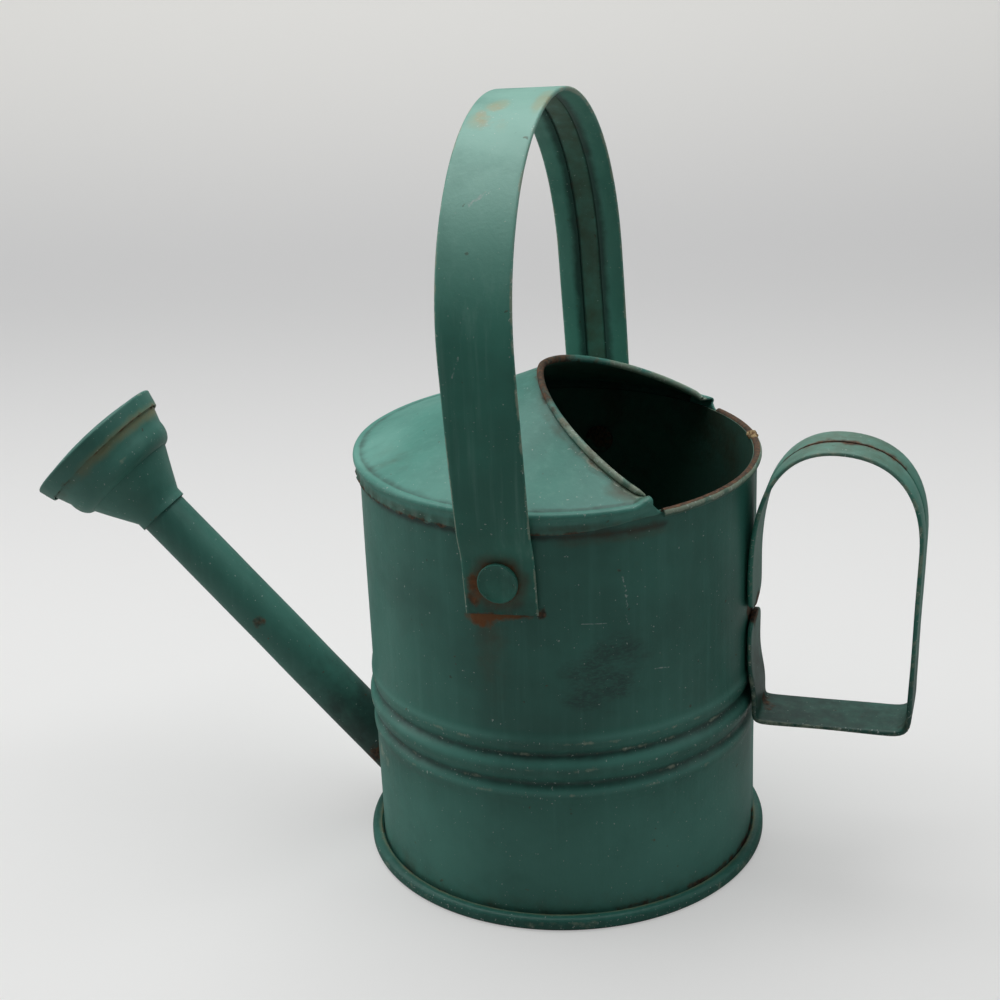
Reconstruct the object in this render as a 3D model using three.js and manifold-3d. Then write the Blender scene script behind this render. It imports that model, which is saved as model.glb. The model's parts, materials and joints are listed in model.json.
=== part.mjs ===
// Sheet-metal watering can: beaded body, half cover, strap bail, strap handle, spout and rose.
// Millimetres, +Z up. The spout points to -X, the rear handle to +X, the bail's rivets are on -Y and +Y.

import * as THREE from 'three';
import { mergeVertices } from 'three/addons/utils/BufferGeometryUtils.js';
import Module from 'manifold-3d';

// Sheet and clearance
const SHEET = 0.6;
const GAP = 0.3;

// Body wall
const BODY_RADIUS = 65;
const BODY_HEIGHT = 141;
const SEAM_ANGLE = 14;
const SEAM_WIDTH = 7;
const SEAM_RISE = 0.8;
const RIM_CURL_RADIUS = 1.4;
const RIM_CURL_START = -60;
const RIM_CURL_END = 180;

// Rolled beads and grooves round the wall: distance below the rim, half width, rise
const BEADS = [
  { drop: 74.5, half: 5.0, rise: 0.6 },
  { drop: 78.8, half: 2.6, rise: -0.6 },
  { drop: 83.4, half: 5.2, rise: 1.5 },
  { drop: 89.1, half: 2.6, rise: -0.6 },
  { drop: 92.8, half: 4.2, rise: 0.8 },
].map((bead) => ({ ...bead, z: BODY_HEIGHT - bead.drop }));
const BEAD_STEP = 2.7;

// Base
const FOOT_PROJECTION = 4.2;
const FOOT_HEIGHT = 4.7;
const FOOT_ROUND = 1.6;
const PANEL_RAISE = 3;
const FOLD_WALL = 1.2;

// Cover
const COVER_OPEN_ANGLE = 46.5;
const LIP_OVERHANG = 2;
const LIP_ABOVE_WALL = 2.2;
const LIP_FOLD = 0.95;
const LIP_FLAT = 1.4;
const EAR_SPAN = 9;
const EAR_RISE = 1.8;
const EAR_SLANT = 3.2;
const EAR_CURL_SHARE = 0.66;
const SKIRT_DROP = 4.6;
const SKIRT_END_RISE = 3;
const SKIRT_END_SPAN = 30;
const MOUTH_APEX_X = -3.5;
const MOUTH_RISE = 24.8;
const MOUTH_FULLNESS = 1.65;
const MOUTH_END_ANGLE = 50.2;
const MOUTH_END_INSET = 3.4;
const MOUTH_END_RISE = 0.4;
const MOUTH_CURL_RADIUS = 1.1;

// Bail and its rivets
const STRAP = 1.6;
const HEM_STEP = 0.7;
const BAIL_WIDTH = 23.4;
const BAIL_RECESS = 7.6;
const BAIL_PIVOT_X = -1;
const BAIL_PIVOT_BELOW_RIM = 19;
const BAIL_TAIL = 10.8;
const BAIL_LEG = 68.3;
const BAIL_ARCH_RISE = 66.9;
const BAIL_FLARE = 0.9;
const BAIL_LIP_CLEARANCE = 0.42;
const BAIL_SET_HEIGHT = 11;
const BAIL_SET_LOW_PULL = 4;
const BAIL_SET_HIGH_PULL = 6;
const BAIL_LEG_PULL = 5;
const BAIL_LEAN = 2.8;
const RIVET_HEAD_RADIUS = 6.4;
const RIVET_HEAD_HEIGHT = 1.5;
const RIVET_SHANK_RADIUS = 3;
const RIVET_TAIL_RADIUS = 5;
const RIVET_TAIL_HEIGHT = 1.5;
const RIVET_CHAMFER = 0.5;
const RIVET_EDGE_WIDTH = 1;
const RIVET_DISH = 0.25;

// Rear handle
const HANDLE_WIDTH = 20.4;
const HANDLE_SEAM = 1.2;
const HANDLE_REACH = 54.6;
const HANDLE_ABOVE_RIM = 7.6;
const HANDLE_HEIGHT = 96.2;
const HANDLE_UPPER_END = 57.5;
const HANDLE_LOWER_END = 60.5;
const HANDLE_END_ROUND = 5.5;
const HANDLE_END_SPARE = 2;
const HANDLE_ARCH_DROP = 43;
const HANDLE_ARCH_PULL = 26;
const HANDLE_CROWN_SHARE = 0.5;
const HANDLE_CROWN_PULL = 18.5;
const HANDLE_GRIP_DROP = 32;
const HANDLE_GRIP_PULL = 20;
const HANDLE_BOW = 0.5;
const HANDLE_GRIP_LEAN = 1.4;
const HANDLE_CORNER = 12.4;
const HANDLE_BOTTOM_TILT = 0.4;
const HANDLE_KNEE = 8;
const HANDLE_KNEE_STANDOFF = 1.8;
const HANDLE_KNEE_RISE = 6;
const HANDLE_SETTLE = 24;
const HANDLE_SETTLE_PULL = 8;

// Spout and rose
const SPOUT_RADIUS = 8.6;
const SPOUT_ROOT_Z = 22.4;
const SPOUT_RISE_ANGLE = 46.3;
const SPOUT_LENGTH = 117.6;
const SPOUT_IN_COLLAR = 4.5;
const COLLAR_LENGTH = 2.9;
const ROSE_LENGTH = 35.4;
const ROSE_RADIUS = 26.6;
const ROSE_RIM_DEPTH = 5.8;
const ROSE_RIM_TAPER = 1.5;
const ROSE_RIM_TUCK = 3.8;
const ROSE_EDGE_ROUND = 0.5;
const ROSE_THROAT_RADIUS = 21.6;
const ROSE_NECK = 5.1;
const ROSE_BEAD_LENGTH = 7.2;
const ROSE_BEAD_RISE = 4.3;
const ROSE_DOME = 2.8;
const ROSE_HOLE_RADIUS = 1;
const ROSE_HOLE_PITCH = 6.1;
const ROSE_HOLE_RINGS = 3;

// Facets
const ROUND_SEGMENTS = 48;
const ROSE_SEGMENTS = 22;
const SMALL_SEGMENTS = 16;
const HOLE_SEGMENTS = 6;
const COVER_STATIONS = 50;
const BAIL_STEP = 6.9;
const EDGE_SEGMENTS = 2;
const CURL_STEPS = 14;
const HANDLE_STEPS = 44;
const CURL_SEGMENTS = 3;
const TONGUE_SEGMENTS = 8;
const LIP_FOLD_ANGLES = [-50, 0, 45, 90];
const MOUTH_CURL_ANGLES = [55, 110, 165, 215, 265];
const CONE_SHARES = [0, 0.33, 0.66, 1];
const ROSE_BEAD_ANGLES = [0, 25, 50, 75, 90];
const ROSE_DOME_SHARES = [0.72, 0.38, 0];
const ROUND_EASE = 1 - Math.SQRT1_2;
const WELD = 1e-4;
const ARC_DIVISIONS = 900;
const TURN_STEP = 0.01;

// Paint colours
const BODY_GREEN = 0x35665a;
const COVER_GREEN = 0x4c8876;
const STRAP_GREEN = 0x41786a;
const SPOUT_GREEN = 0x2f5b50;
const PAINT_ROUGHNESS = 0.5;
const PAINT_METALNESS = 0.1;

const WALL_INSIDE = BODY_RADIUS - SHEET;
const LIP_RADIUS = BODY_RADIUS + LIP_OVERHANG;
const LIP_Z = BODY_HEIGHT + LIP_ABOVE_WALL;
const PIVOT_Z = BODY_HEIGHT - BAIL_PIVOT_BELOW_RIM;
const BAIL_FOOT_Y = BODY_RADIUS + GAP + STRAP / 2;
const RIVET_HOLE_RADIUS = RIVET_SHANK_RADIUS + GAP;
const COLLAR_RADIUS = SPOUT_RADIUS + GAP + SHEET;

const radians = THREE.MathUtils.degToRad;
const wasm = await Module();
wasm.setup();

// Solids for joining and cutting

function solidOf(geometry) {
  const bare = geometry.clone();
  bare.deleteAttribute('normal');
  bare.deleteAttribute('uv');
  const merged = mergeVertices(bare, WELD);
  return new wasm.Manifold(new wasm.Mesh({
    numProp: 3,
    vertProperties: new Float32Array(merged.attributes.position.array),
    triVerts: new Uint32Array(merged.index.array),
  }));
}

function geometryOf(solid) {
  const mesh = solid.getMesh();
  const geometry = new THREE.BufferGeometry();
  geometry.setAttribute('position', new THREE.BufferAttribute(new Float32Array(mesh.vertProperties), 3));
  geometry.setIndex(new THREE.BufferAttribute(new Uint32Array(mesh.triVerts), 1));
  geometry.computeVertexNormals();
  return geometry;
}

// A profile of [radius, height] pairs turned about the Z axis
function turned(profile, segments) {
  const points = profile.map(([r, z]) => new THREE.Vector2(r, z));
  return new THREE.LatheGeometry(points, segments).rotateX(Math.PI / 2);
}

// A round bar from z = low to z = high on the Z axis
function bar(radius, low, high, segments) {
  const geometry = new THREE.CylinderGeometry(radius, radius, high - low, segments);
  return geometry.rotateX(Math.PI / 2).translate(0, 0, (low + high) / 2);
}

// Moves every point of an open profile sideways, to the left of its direction of travel
function beside(profile, distance) {
  return profile.map(([r, z], i) => {
    const [r0, z0] = profile[Math.max(i - 1, 0)];
    const [r1, z1] = profile[Math.min(i + 1, profile.length - 1)];
    const run = Math.hypot(r1 - r0, z1 - z0);
    return [r - distance * (z1 - z0) / run, z + distance * (r1 - r0) / run];
  });
}

// A plane path lifted into space
class LiftedPath extends THREE.Curve {
  constructor(path, lift) {
    super();
    this.path = path;
    this.lift = lift;
    this.arcLengthDivisions = ARC_DIVISIONS;
  }

  getPoint(t, target = new THREE.Vector3()) {
    const point = this.path.getPoint(t);
    return target.copy(this.lift(point));
  }
}

function swept(section, path, lift, steps) {
  return new THREE.ExtrudeGeometry(section, {
    steps,
    curveSegments: EDGE_SEGMENTS,
    extrudePath: new LiftedPath(path, lift),
  });
}

// A strap's section: half-round folded edges, and a channel left between its two folded hems.
// across is the strap's width, the hems lie on the side of negative x
function strapSection(across, channel) {
  const edge = across / 2 - STRAP / 2;
  const section = new THREE.Shape();
  section.moveTo(STRAP / 2, -edge);
  section.lineTo(STRAP / 2, edge);
  section.absarc(0, edge, STRAP / 2, 0, Math.PI);
  section.lineTo(-STRAP / 2, channel / 2);
  section.lineTo(HEM_STEP - STRAP / 2, channel / 2);
  section.lineTo(HEM_STEP - STRAP / 2, -channel / 2);
  section.lineTo(-STRAP / 2, -channel / 2);
  section.lineTo(-STRAP / 2, -edge);
  section.absarc(0, -edge, STRAP / 2, Math.PI, 2 * Math.PI);
  return section;
}

// A sheet of even thickness on a grid of points: rows run one way, the points of a row the other
function sheetOn(rows, thickness) {
  const rowCount = rows.length;
  const rowLength = rows[0].length;
  const positions = [];
  for (const side of [0.5, -0.5]) {
    for (let i = 0; i < rowCount; i += 1) {
      for (let j = 0; j < rowLength; j += 1) {
        const along = rows[Math.min(i + 1, rowCount - 1)][j].clone().sub(rows[Math.max(i - 1, 0)][j]);
        const up = rows[i][Math.min(j + 1, rowLength - 1)].clone().sub(rows[i][Math.max(j - 1, 0)]);
        const normal = along.cross(up).normalize();
        const point = rows[i][j].clone().addScaledVector(normal, side * thickness);
        positions.push(point.x, point.y, point.z);
      }
    }
  }
  const faces = [];
  const outer = (i, j) => i * rowLength + j;
  const inner = (i, j) => rowCount * rowLength + outer(i, j);
  const quad = (a, b, c, d) => faces.push(a, b, c, a, c, d);
  const lastRow = rowCount - 1;
  const lastPoint = rowLength - 1;
  for (let i = 0; i < lastRow; i += 1) {
    for (let j = 0; j < lastPoint; j += 1) {
      quad(outer(i, j), outer(i + 1, j), outer(i + 1, j + 1), outer(i, j + 1));
      quad(inner(i, j), inner(i, j + 1), inner(i + 1, j + 1), inner(i + 1, j));
    }
    quad(outer(i, 0), inner(i, 0), inner(i + 1, 0), outer(i + 1, 0));
    quad(outer(i, lastPoint), outer(i + 1, lastPoint), inner(i + 1, lastPoint), inner(i, lastPoint));
  }
  for (let j = 0; j < lastPoint; j += 1) {
    quad(outer(0, j), outer(0, j + 1), inner(0, j + 1), inner(0, j));
    quad(outer(lastRow, j), inner(lastRow, j), inner(lastRow, j + 1), outer(lastRow, j + 1));
  }
  const geometry = new THREE.BufferGeometry();
  geometry.setAttribute('position', new THREE.Float32BufferAttribute(positions, 3));
  geometry.setIndex(faces);
  geometry.computeVertexNormals();
  return geometry;
}

// Where the spout meets the wall, with +Z along the tube
const spoutFrame = new THREE.Group();
spoutFrame.position.set(-BODY_RADIUS, 0, SPOUT_ROOT_Z);
spoutFrame.rotation.y = radians(SPOUT_RISE_ANGLE - 90);
spoutFrame.updateMatrix();

// Where the bail turns, with the lean that it stands at
const bailFrame = new THREE.Group();
bailFrame.position.set(BAIL_PIVOT_X, 0, PIVOT_Z);
bailFrame.rotation.y = radians(-BAIL_LEAN);

// Body wall

function wallRadius(z) {
  const rise = BEADS.map((bead) => {
    const off = Math.min(Math.abs(z - bead.z) / bead.half, 1);
    return bead.rise * (1 + Math.cos(Math.PI * off)) / 2;
  });
  return BODY_RADIUS + rise.reduce((sum, part) => sum + part, 0);
}

// The wall's section between two heights, from a radius inside its outer face to one outside it
function wallBand(low, high, inside, outside) {
  const beadLow = Math.min(...BEADS.map((bead) => bead.z - bead.half));
  const beadHigh = Math.max(...BEADS.map((bead) => bead.z + bead.half));
  const steps = Math.round((beadHigh - beadLow) / BEAD_STEP);
  const heights = [low];
  for (let i = 0; i <= steps; i += 1) heights.push(beadLow + (beadHigh - beadLow) * i / steps);
  heights.push(high);
  const outer = heights.map((z) => [wallRadius(z) + outside, z]);
  const inner = heights.map((z) => [wallRadius(z) - inside, z]).reverse();
  return [...outer, ...inner, outer[0]];
}

// The flange at the wall's foot, which the base is folded over
function footFlange() {
  const outside = BODY_RADIUS + FOOT_PROJECTION - FOLD_WALL - GAP;
  const low = FOLD_WALL + 2 * GAP;
  return turned([
    [outside, low],
    [outside, low + SHEET],
    [WALL_INSIDE, low + SHEET],
    [WALL_INSIDE, low],
    [outside, low],
  ], ROUND_SEGMENTS);
}

// The open part of the wall's top edge, curled outward
function rimCurl() {
  const outer = RIM_CURL_RADIUS;
  const section = new THREE.Shape();
  section.absarc(0, 0, outer, radians(RIM_CURL_START), radians(RIM_CURL_END));
  section.absarc(0, 0, outer - SHEET, radians(RIM_CURL_END), radians(RIM_CURL_START), true);
  const half = radians(COVER_OPEN_ANGLE) - 4 * GAP / BODY_RADIUS;
  const centre = BODY_RADIUS - SHEET + outer;
  const arc = new THREE.Path().absarc(0, 0, centre, -half, half);
  const top = BODY_HEIGHT - SHEET;
  // The sweep's first section axis points down and its second to the can's axis
  const outline = section.getPoints(CURL_SEGMENTS).map((p) => new THREE.Vector2(-p.y, -p.x));
  return swept(new THREE.Shape(outline), arc, (p) => new THREE.Vector3(p.x, p.y, top), CURL_STEPS);
}

// The folded seam that closes the wall, which the beads run over
function lockSeam() {
  const half = SEAM_WIDTH / 2 / BODY_RADIUS;
  const middle = radians(SEAM_ANGLE);
  const low = FOOT_HEIGHT + 2 * GAP;
  const high = BODY_HEIGHT - 2 * RIM_CURL_RADIUS - GAP;
  const reach = 2 * BODY_RADIUS;
  const wedge = new THREE.Shape();
  wedge.moveTo(0, 0);
  wedge.lineTo(reach * Math.cos(middle - half), reach * Math.sin(middle - half));
  wedge.lineTo(reach * Math.cos(middle + half), reach * Math.sin(middle + half));
  const slice = new THREE.ExtrudeGeometry(wedge, { depth: BODY_HEIGHT, bevelEnabled: false });
  const band = turned(wallBand(low, high, SHEET / 2, SEAM_RISE), ROUND_SEGMENTS);
  return solidOf(band).intersect(solidOf(slice));
}

function bodyShell() {
  const wall = turned(wallBand(FOLD_WALL + 2 * GAP, BODY_HEIGHT, SHEET, 0), ROUND_SEGMENTS);
  const spoutHole = bar(SPOUT_RADIUS + GAP, -2 * SPOUT_RADIUS, 2 * SPOUT_RADIUS, SMALL_SEGMENTS);
  spoutHole.applyMatrix4(spoutFrame.matrix);
  const reach = BODY_RADIUS + FOOT_PROJECTION;
  const rivetHole = bar(RIVET_HOLE_RADIUS, -reach, reach, SMALL_SEGMENTS);
  rivetHole.rotateX(Math.PI / 2).translate(BAIL_PIVOT_X, 0, PIVOT_Z);
  return geometryOf(
    solidOf(wall)
      .add(solidOf(footFlange()))
      .add(lockSeam())
      .add(solidOf(rimCurl()))
      .subtract(solidOf(spoutHole))
      .subtract(solidOf(rivetHole)),
  );
}

// Base: a raised panel whose edge is folded round the wall's flange

function basePan() {
  const outside = BODY_RADIUS + FOOT_PROJECTION;
  const panelEdge = WALL_INSIDE - GAP;
  const mouth = BODY_RADIUS + GAP;
  const flangeTop = FOLD_WALL + 3 * GAP + SHEET;
  const ease = FOOT_ROUND * ROUND_EASE;
  const profile = [
    [0, PANEL_RAISE],
    [panelEdge - SHEET, PANEL_RAISE],
    [panelEdge - SHEET, 0],
    [outside - FOOT_ROUND, 0],
    [outside - ease, ease],
    [outside, FOOT_ROUND],
    [outside, FOOT_HEIGHT - FOOT_ROUND],
    [outside - ease, FOOT_HEIGHT - ease],
    [outside - FOOT_ROUND, FOOT_HEIGHT],
    [mouth, FOOT_HEIGHT],
    [mouth, flangeTop],
    [outside - FOLD_WALL, flangeTop],
    [outside - FOLD_WALL, FOLD_WALL],
    [panelEdge, FOLD_WALL],
    [panelEdge, PANEL_RAISE + SHEET],
    [0, PANEL_RAISE + SHEET],
  ];
  return turned(profile, ROUND_SEGMENTS);
}

// Cover: skirt, lip, cone and curled mouth edge, station by station from the far end round to the near one

function mouthPoint(turn) {
  const endRadius = BODY_RADIUS - MOUTH_END_INSET;
  const endX = endRadius * Math.cos(radians(MOUTH_END_ANGLE));
  const halfWidth = endRadius * Math.sin(radians(MOUTH_END_ANGLE));
  const endZ = LIP_Z + LIP_FOLD + MOUTH_END_RISE;
  const apexZ = LIP_Z + LIP_FOLD + MOUTH_RISE;
  const climb = Math.abs(Math.sin(turn)) ** (2 / MOUTH_FULLNESS);
  const across = Math.sign(Math.cos(turn)) * Math.abs(Math.cos(turn)) ** (2 / MOUTH_FULLNESS);
  return new THREE.Vector3(
    endX + (MOUTH_APEX_X - endX) * climb,
    halfWidth * across,
    endZ + (apexZ - endZ) * climb,
  );
}

function coverStation(angle, turn) {
  const side = Math.sign(Math.PI - angle);
  const fromEnd = (Math.PI - Math.abs(angle - Math.PI)) - radians(COVER_OPEN_ANGLE);
  const ear = 1 - THREE.MathUtils.smoothstep(fromEnd, 0, radians(EAR_SPAN));
  // Both ends of the lip are bent up into ears: lifted is a point's share of that bend
  const at = (r, z, lifted) => {
    const a = angle + side * radians(EAR_SLANT) * ear * lifted;
    return new THREE.Vector3(r * Math.cos(a), r * Math.sin(a), z + EAR_RISE * ear * lifted);
  };
  const skirtRadius = BODY_RADIUS + GAP + SHEET / 2;
  const foldCentre = LIP_RADIUS - SHEET / 2 - LIP_FOLD;
  const endRise = SKIRT_END_RISE * (1 - THREE.MathUtils.smoothstep(fromEnd, 0, radians(SKIRT_END_SPAN)));
  const skirtLow = BODY_HEIGHT + LIP_FOLD - SKIRT_DROP + endRise;
  const station = [at(skirtRadius, skirtLow, 0), at(skirtRadius, LIP_Z - 2 * LIP_FOLD, 1 / 2)];
  for (const lift of LIP_FOLD_ANGLES) {
    const a = radians(lift);
    station.push(at(foldCentre + LIP_FOLD * Math.cos(a), LIP_Z + LIP_FOLD * Math.sin(a), 1));
  }
  const coneFoot = at(foldCentre - LIP_FLAT, LIP_Z + LIP_FOLD, 1);
  const edge = mouthPoint(turn);
  for (const share of CONE_SHARES) station.push(coneFoot.clone().lerp(edge, share));

  const curl = MOUTH_CURL_RADIUS * THREE.MathUtils.lerp(1, EAR_CURL_SHARE, ear);
  const inward = edge.clone().sub(coneFoot).normalize();
  const mouthRun = mouthPoint(turn + TURN_STEP).sub(mouthPoint(turn - TURN_STEP));
  const outward = mouthRun.cross(inward).normalize();
  const curlCentre = edge.clone().addScaledVector(outward, curl);
  for (const lift of MOUTH_CURL_ANGLES) {
    const a = radians(lift);
    const point = curlCentre.clone();
    point.addScaledVector(outward, -curl * Math.cos(a));
    point.addScaledVector(inward, curl * Math.sin(a));
    station.push(point);
  }
  return station;
}

function topCover() {
  const stations = [];
  const start = radians(COVER_OPEN_ANGLE);
  const sweep = 2 * Math.PI - 2 * start;
  for (let i = 0; i <= COVER_STATIONS; i += 1) {
    const share = i / COVER_STATIONS;
    stations.push(coverStation(start + sweep * share, Math.PI * share));
  }
  return sheetOn(stations, SHEET);
}

// Bail: flat feet on the wall, a set outward past the cover's lip, legs and an elliptical arch

function bailPath() {
  const foot = BAIL_FOOT_Y;
  const pastLip = LIP_RADIUS + BAIL_LIP_CLEARANCE + STRAP / 2;
  const spread = pastLip + BAIL_FLARE;
  const footTop = RIVET_HEAD_RADIUS - GAP;
  const setTop = footTop + BAIL_SET_HEIGHT;
  const lowPull = footTop + BAIL_SET_LOW_PULL;
  const highPull = setTop - BAIL_SET_HIGH_PULL;
  const legPull = setTop + BAIL_LEG_PULL;
  const path = new THREE.Path();
  path.moveTo(-foot, -BAIL_TAIL);
  path.lineTo(-foot, footTop);
  path.bezierCurveTo(-foot, lowPull, GAP - pastLip, highPull, -pastLip, setTop);
  path.bezierCurveTo(-pastLip - GAP, legPull, -spread, BAIL_LEG / 2, -spread, BAIL_LEG);
  path.absellipse(0, BAIL_LEG, spread, BAIL_ARCH_RISE, Math.PI, 0, true);
  path.bezierCurveTo(spread, BAIL_LEG / 2, pastLip + GAP, legPull, pastLip, setTop);
  path.bezierCurveTo(pastLip - GAP, highPull, foot, lowPull, foot, footTop);
  path.lineTo(foot, -BAIL_TAIL);
  return path;
}

function bailStrap() {
  const lift = (p) => new THREE.Vector3(0, p.x, p.y);
  const path = bailPath();
  const steps = Math.round(path.getLength() / BAIL_STEP);
  const strap = swept(strapSection(BAIL_WIDTH, BAIL_RECESS), path, lift, steps);
  const reach = 2 * BODY_RADIUS;
  const holes = bar(RIVET_HOLE_RADIUS, -reach, reach, SMALL_SEGMENTS).rotateX(Math.PI / 2);
  return geometryOf(solidOf(strap).subtract(solidOf(holes)));
}

// A flat rivet along +Z: upset tail inside the wall, shank, head with a raised edge outside the strap
function rivet() {
  const tailTop = WALL_INSIDE - 2 * GAP;
  const headLow = BAIL_FOOT_Y + STRAP / 2 + GAP;
  const headTop = headLow + RIVET_HEAD_HEIGHT;
  return turned([
    [0, tailTop - RIVET_TAIL_HEIGHT],
    [RIVET_TAIL_RADIUS - RIVET_CHAMFER, tailTop - RIVET_TAIL_HEIGHT],
    [RIVET_TAIL_RADIUS, tailTop - RIVET_TAIL_HEIGHT + RIVET_CHAMFER],
    [RIVET_TAIL_RADIUS, tailTop],
    [RIVET_SHANK_RADIUS, tailTop],
    [RIVET_SHANK_RADIUS, headLow],
    [RIVET_HEAD_RADIUS, headLow],
    [RIVET_HEAD_RADIUS, headTop - RIVET_CHAMFER],
    [RIVET_HEAD_RADIUS - RIVET_CHAMFER, headTop],
    [RIVET_HEAD_RADIUS - RIVET_EDGE_WIDTH, headTop],
    [RIVET_HEAD_RADIUS - RIVET_EDGE_WIDTH - RIVET_DISH, headTop - RIVET_DISH],
    [0, headTop - RIVET_DISH],
  ], SMALL_SEGMENTS);
}

// Rear handle: up the wall, over the arch, down the grip, along the bottom and up to the wall again

function handlePath() {
  const wall = BODY_RADIUS + GAP + STRAP / 2;
  const top = BODY_HEIGHT + HANDLE_ABOVE_RIM;
  const bottom = top - HANDLE_HEIGHT;
  const grip = BODY_RADIUS + HANDLE_REACH;
  const crown = wall + (grip - wall) * HANDLE_CROWN_SHARE;
  const archFoot = top - HANDLE_ARCH_DROP;
  const archPull = archFoot + HANDLE_ARCH_PULL;
  const gripTop = top - HANDLE_GRIP_DROP;
  const gripPull = gripTop + HANDLE_GRIP_PULL;
  const gripFoot = grip - HANDLE_GRIP_LEAN;
  const floor = bottom + HANDLE_BOTTOM_TILT;
  const knee = wall + HANDLE_KNEE_STANDOFF;
  const settled = bottom + HANDLE_SETTLE;
  const path = new THREE.Path();
  path.moveTo(wall, top - HANDLE_UPPER_END - HANDLE_END_ROUND - HANDLE_END_SPARE);
  path.lineTo(wall, archFoot);
  path.bezierCurveTo(wall + HANDLE_BOW, archPull, crown - HANDLE_CROWN_PULL, top, crown, top);
  path.bezierCurveTo(crown + HANDLE_CROWN_PULL, top, grip + HANDLE_BOW, gripPull, grip, gripTop);
  path.lineTo(gripFoot, bottom + HANDLE_CORNER);
  path.quadraticCurveTo(gripFoot, floor, grip - HANDLE_CORNER, floor);
  path.lineTo(wall + HANDLE_KNEE, bottom);
  path.quadraticCurveTo(knee, bottom, knee, bottom + HANDLE_KNEE_RISE);
  path.bezierCurveTo(knee, bottom + 2 * HANDLE_KNEE_RISE, wall, settled - HANDLE_SETTLE_PULL, wall, settled);
  path.lineTo(wall, top - HANDLE_LOWER_END - HANDLE_END_ROUND + HANDLE_END_SPARE);
  return path;
}

// What is cut away between the handle's two rounded ends on the wall
function handleEndCut() {
  const top = BODY_HEIGHT + HANDLE_ABOVE_RIM;
  const upper = top - HANDLE_UPPER_END;
  const lower = top - HANDLE_LOWER_END - 2 * HANDLE_END_ROUND;
  const half = HANDLE_WIDTH / 2 + GAP;
  const cut = new THREE.Shape();
  cut.moveTo(-2 * half, lower);
  cut.lineTo(-half, lower);
  cut.absellipse(0, lower, half, HANDLE_END_ROUND, Math.PI, 0, true);
  cut.lineTo(2 * half, lower);
  cut.lineTo(2 * half, upper);
  cut.lineTo(half, upper);
  cut.absellipse(0, upper, half, HANDLE_END_ROUND, 0, Math.PI, true);
  cut.lineTo(-2 * half, upper);
  const depth = 4 * STRAP;
  const block = new THREE.ExtrudeGeometry(cut, {
    depth,
    bevelEnabled: false,
    curveSegments: TONGUE_SEGMENTS,
  });
  const across = new THREE.Matrix4().makeBasis(
    new THREE.Vector3(0, 1, 0),
    new THREE.Vector3(0, 0, 1),
    new THREE.Vector3(1, 0, 0),
  );
  return block.applyMatrix4(across).translate(BODY_RADIUS - STRAP, 0, 0);
}

function rearHandle() {
  const hemsOutside = strapSection(HANDLE_WIDTH, HANDLE_SEAM).getPoints(EDGE_SEGMENTS);
  const section = new THREE.Shape(hemsOutside.map((p) => new THREE.Vector2(-p.y, p.x)));
  const lift = (p) => new THREE.Vector3(p.x, 0, p.y);
  const strap = swept(section, handlePath(), lift, HANDLE_STEPS);
  return geometryOf(solidOf(strap).subtract(solidOf(handleEndCut())));
}

// Spout tube, its root trimmed to the inside of the wall

function spoutTube() {
  const inside = SPOUT_RADIUS - SHEET;
  const low = -2 * SPOUT_RADIUS;
  const high = SPOUT_LENGTH + SPOUT_IN_COLLAR;
  const tube = turned([
    [SPOUT_RADIUS, low],
    [SPOUT_RADIUS, high],
    [inside, high],
    [inside, low],
    [SPOUT_RADIUS, low],
  ], SMALL_SEGMENTS);
  const trim = bar(WALL_INSIDE - 3 * GAP, -BODY_HEIGHT, BODY_HEIGHT, ROUND_SEGMENTS);
  trim.applyMatrix4(spoutFrame.matrix.clone().invert());
  return geometryOf(solidOf(tube).subtract(solidOf(trim)));
}

// Rose: a flared sleeve with a stepped bead, and a perforated face whose rim is folded over its edge

function roseCone() {
  const rimBack = ROSE_LENGTH - ROSE_RIM_DEPTH;
  const beadStart = rimBack - ROSE_NECK - ROSE_BEAD_LENGTH;
  const bead = ROSE_BEAD_ANGLES.map(radians).map((a) => [
    ROSE_THROAT_RADIUS - ROSE_BEAD_RISE * (1 - Math.sin(a)),
    beadStart + ROSE_BEAD_LENGTH * (1 - Math.cos(a)),
  ]);
  const tucked = ROSE_RADIUS - SHEET - 2 * GAP;
  const outside = [
    [COLLAR_RADIUS, 0],
    [COLLAR_RADIUS, COLLAR_LENGTH],
    ...bead,
    [tucked - ROSE_RIM_TAPER, rimBack],
    [tucked - ROSE_RIM_TAPER * (1 - ROSE_RIM_TUCK / ROSE_RIM_DEPTH), rimBack + ROSE_RIM_TUCK],
  ];
  const inside = beside(outside, SHEET).reverse();
  return turned([...outside, ...inside, outside[0]], ROSE_SEGMENTS).translate(0, 0, SPOUT_LENGTH);
}

function roseHoles() {
  const length = 4 * ROSE_DOME;
  let holes = solidOf(bar(ROSE_HOLE_RADIUS, 0, length, HOLE_SEGMENTS));
  for (let ring = 1; ring <= ROSE_HOLE_RINGS; ring += 1) {
    const count = 6 * ring;
    for (let k = 0; k < count; k += 1) {
      const a = 2 * Math.PI * k / count;
      const hole = bar(ROSE_HOLE_RADIUS, 0, length, HOLE_SEGMENTS);
      hole.translate(ring * ROSE_HOLE_PITCH * Math.cos(a), ring * ROSE_HOLE_PITCH * Math.sin(a), 0);
      holes = holes.add(solidOf(hole));
    }
  }
  return holes.translate([0, 0, ROSE_LENGTH - ROSE_DOME]);
}

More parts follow.
